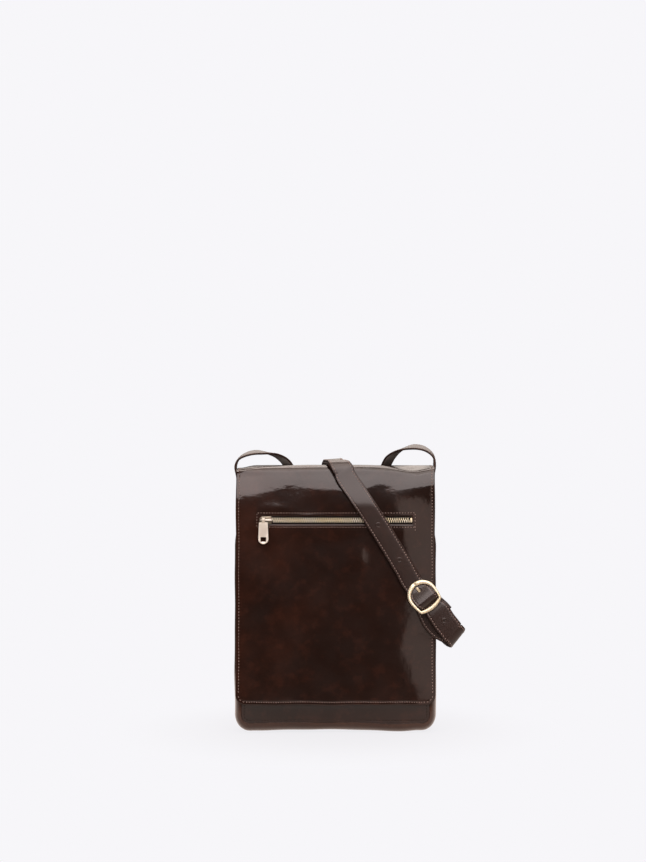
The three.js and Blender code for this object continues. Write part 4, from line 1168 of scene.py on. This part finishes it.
def make_straps():
    """Each strap is cut in three: its loop, its bight and its front. A cut end's edge stays flat."""
    cut_loop = 9.1
    for name, stops, rise, prong_slot, anchor, holes in (
        ("long_strap", LONG_STRAP, OUTER_RISE, (-11, -6.8), "strap_anchor_left",
         ((53.8, 265), (79.2, 222), (138, 145.6))),
        ("short_strap", SHORT_STRAP, INNER_RISE, (-3, 10), "strap_anchor_right", ()),
    ):
        seam = next(i for i, s in enumerate(stops) if abs(s[1] - SEAM_Y) < 0.01 and s[2] == FLAP_TOP + rise)
        loop, _ = ribbon(f"{name}_loop_leather", stops, 0, cut_loop, open_hi=True, stitch=0.28)
        loop.make([f"{name}_loop", anchor], "bag", "flap_bridge", start=(0, 0.03, 0.343), end=(0, 0.03, 0.357))
        rear, _ = ribbon(f"{name}_bight_leather", stops, cut_loop, seam, open_lo=True, open_hi=True)
        rear.make([f"{name}_bight"], "bag", "flap_bridge", start=(0, 0.052, 0.336), end=(0, 0.032, 0.352))
        front, line = ribbon(f"{name}_front_leather", stops, seam, len(stops) - 1, prong_slot, open_lo=True)
        for spot in holes:
            ringed_hole(front, line, spot)
        front.make([f"{name}_top", f"{name}_front"], "flap_bridge", "flap_front", **OVER_EDGE)


# ------------------------ studio
BACKDROP = (0.93, 0.922, 0.948, 1)


def make_camera(scene):
    camera = bpy.data.cameras.new("camera")
    camera.sensor_fit = "VERTICAL"
    camera.sensor_height = 36
    camera.sensor_width = 36
    camera.lens = 81.6
    camera.clip_end = 200
    holder = bpy.data.objects.new("camera", camera)
    holder.location = (-0.016, -2.537, 0.387)
    holder.rotation_euler = (math.pi / 2, 0, 0)
    scene.collection.objects.link(holder)
    scene.camera = holder


def make_floor(scene):
    """A pale disc. The camera sees it fade into the backdrop; the leather sees it warm, dim further out, and
    dimmed close under the bag by a painted shadow.
    """
    mesh = bpy.data.meshes.new("floor")
    radius, sides, sunk = 12, 64, 0.0005
    rim = [(radius * math.cos(t), radius * math.sin(t), -sunk)
           for t in np.linspace(0, 2 * math.pi, sides, endpoint=False)]
    mesh.from_pydata(rim, [], [tuple(range(sides))])
    floor = bpy.data.objects.new("floor", mesh)
    scene.collection.objects.link(floor)
    mat = new_material("studio_floor")
    net = Nodes(mat.node_tree)
    place = net.node("TexCoord").outputs["Object"]
    far = net.node("VectorMath", {0: place}, operation="LENGTH").outputs["Value"]
    plain = net.node("BsdfDiffuse", {"Color": (0.42, 0.416, 0.428, 1)})
    glow = net.node("Emission", {"Color": BACKDROP})
    fade = net.band(far, 0.05, 0.3, 0.88, 1.0)
    shown = net.node("MixShader", {0: fade, 1: plain.outputs[0], 2: glow.outputs[0]})
    # the glow that the leather sees is cut to 0.7 near the middle: a painted shadow of the bag on the floor
    strength = net.maths("MULTIPLY", net.band(far, 0.3, 0.85, 0.9, 0.03), net.band(far, 0.06, 0.18, 0.7, 1.0))
    reflected = net.node("Emission", {"Color": (0.9, 0.74, 0.66, 1), "Strength": strength})
    ray = net.node("LightPath").outputs["Is Camera Ray"]
    pick = net.node("MixShader", {0: ray, 1: reflected.outputs[0], 2: shown.outputs[0]})
    net.node("OutputMaterial", {"Surface": pick.outputs[0]})
    mesh.materials.append(mat)


def make_world(scene):
    """A plain backdrop for the camera, and for the leather a dim room that is brighter behind and above."""
    world = bpy.data.worlds.new("studio")
    scene.world = world
    world.use_nodes = True
    net = Nodes(world.node_tree)
    place = net.node("TexCoord").outputs["Generated"]
    split = net.node("SeparateXYZ", {0: place}).outputs
    room = net.band(split["Y"], -0.7, 0.5, 0.02, 0.12)
    behind = net.maths("MULTIPLY_ADD", net.band(split["Y"], 0.6, 0.85, 0.0, 0.9),
                       net.band(split["Z"], 0.08, 0.25), net.band(split["Z"], 0.3, 0.9, 0.0, 0.5))
    warm = net.blend(net.maths("ADD", room, behind), (0, 0, 0), (1.0, 0.88, 0.8), clamp_factor=False)
    lit = net.node("Background", {"Color": warm})
    seen = net.node("Background", {"Color": BACKDROP})
    ray = net.node("LightPath").outputs["Is Camera Ray"]
    mix = net.node("MixShader", {0: ray, 1: lit.outputs[0], 2: seen.outputs[0]})
    net.node("OutputWorld", {"Surface": mix.outputs[0]})


def softbox(name, at, aim, size, power, colour=(1.0, 0.87, 0.81)):
    light = bpy.data.lights.new(name, "AREA")
    light.shape = "RECTANGLE"
    light.size, light.size_y = size
    light.energy = power
    light.color = colour
    obj = bpy.data.objects.new(name, light)
    obj.location = at
    obj.rotation_euler = (Vector(aim) - Vector(at)).to_track_quat("-Z", "Y").to_euler()
    bpy.context.scene.collection.objects.link(obj)


def make_studio():
    scene = bpy.context.scene
    scene.view_settings.view_transform = "Standard"
    scene.view_settings.look = "None"
    make_camera(scene)
    make_floor(scene)
    make_world(scene)
    softbox("overhead", (0.0, -0.4, 1.9), (0, 0, 0.25), (1.8, 1.0), 14)
    softbox("front_high", (0.0, -1.77, 1.73), (0, 0, 0.34), (2.0, 1.9), 43, (1.0, 0.88, 0.86))
    softbox("right_panel", (0.80, -1.9, 0.30), (0.12, 0, 0.2), (0.95, 0.9), 2.6, (1.0, 0.76, 0.67))
    softbox("rear_soft", (0.3, 1.2, 2.1), (0, 0, 0.3), (1.6, 1.0), 12)


make_panels()
make_gusset()
make_lining()
make_slip_pocket()
make_flap_rear()
make_flap_front()
make_flap_linings()
make_tapes()
make_teeth()
make_slider()
make_pull()
make_frame()
make_prong()
make_straps()
for node in ("snap_stud", "snap_socket"):
    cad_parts[node].data.materials.clear()
    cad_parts[node].data.materials.append(STEEL)
make_studio()
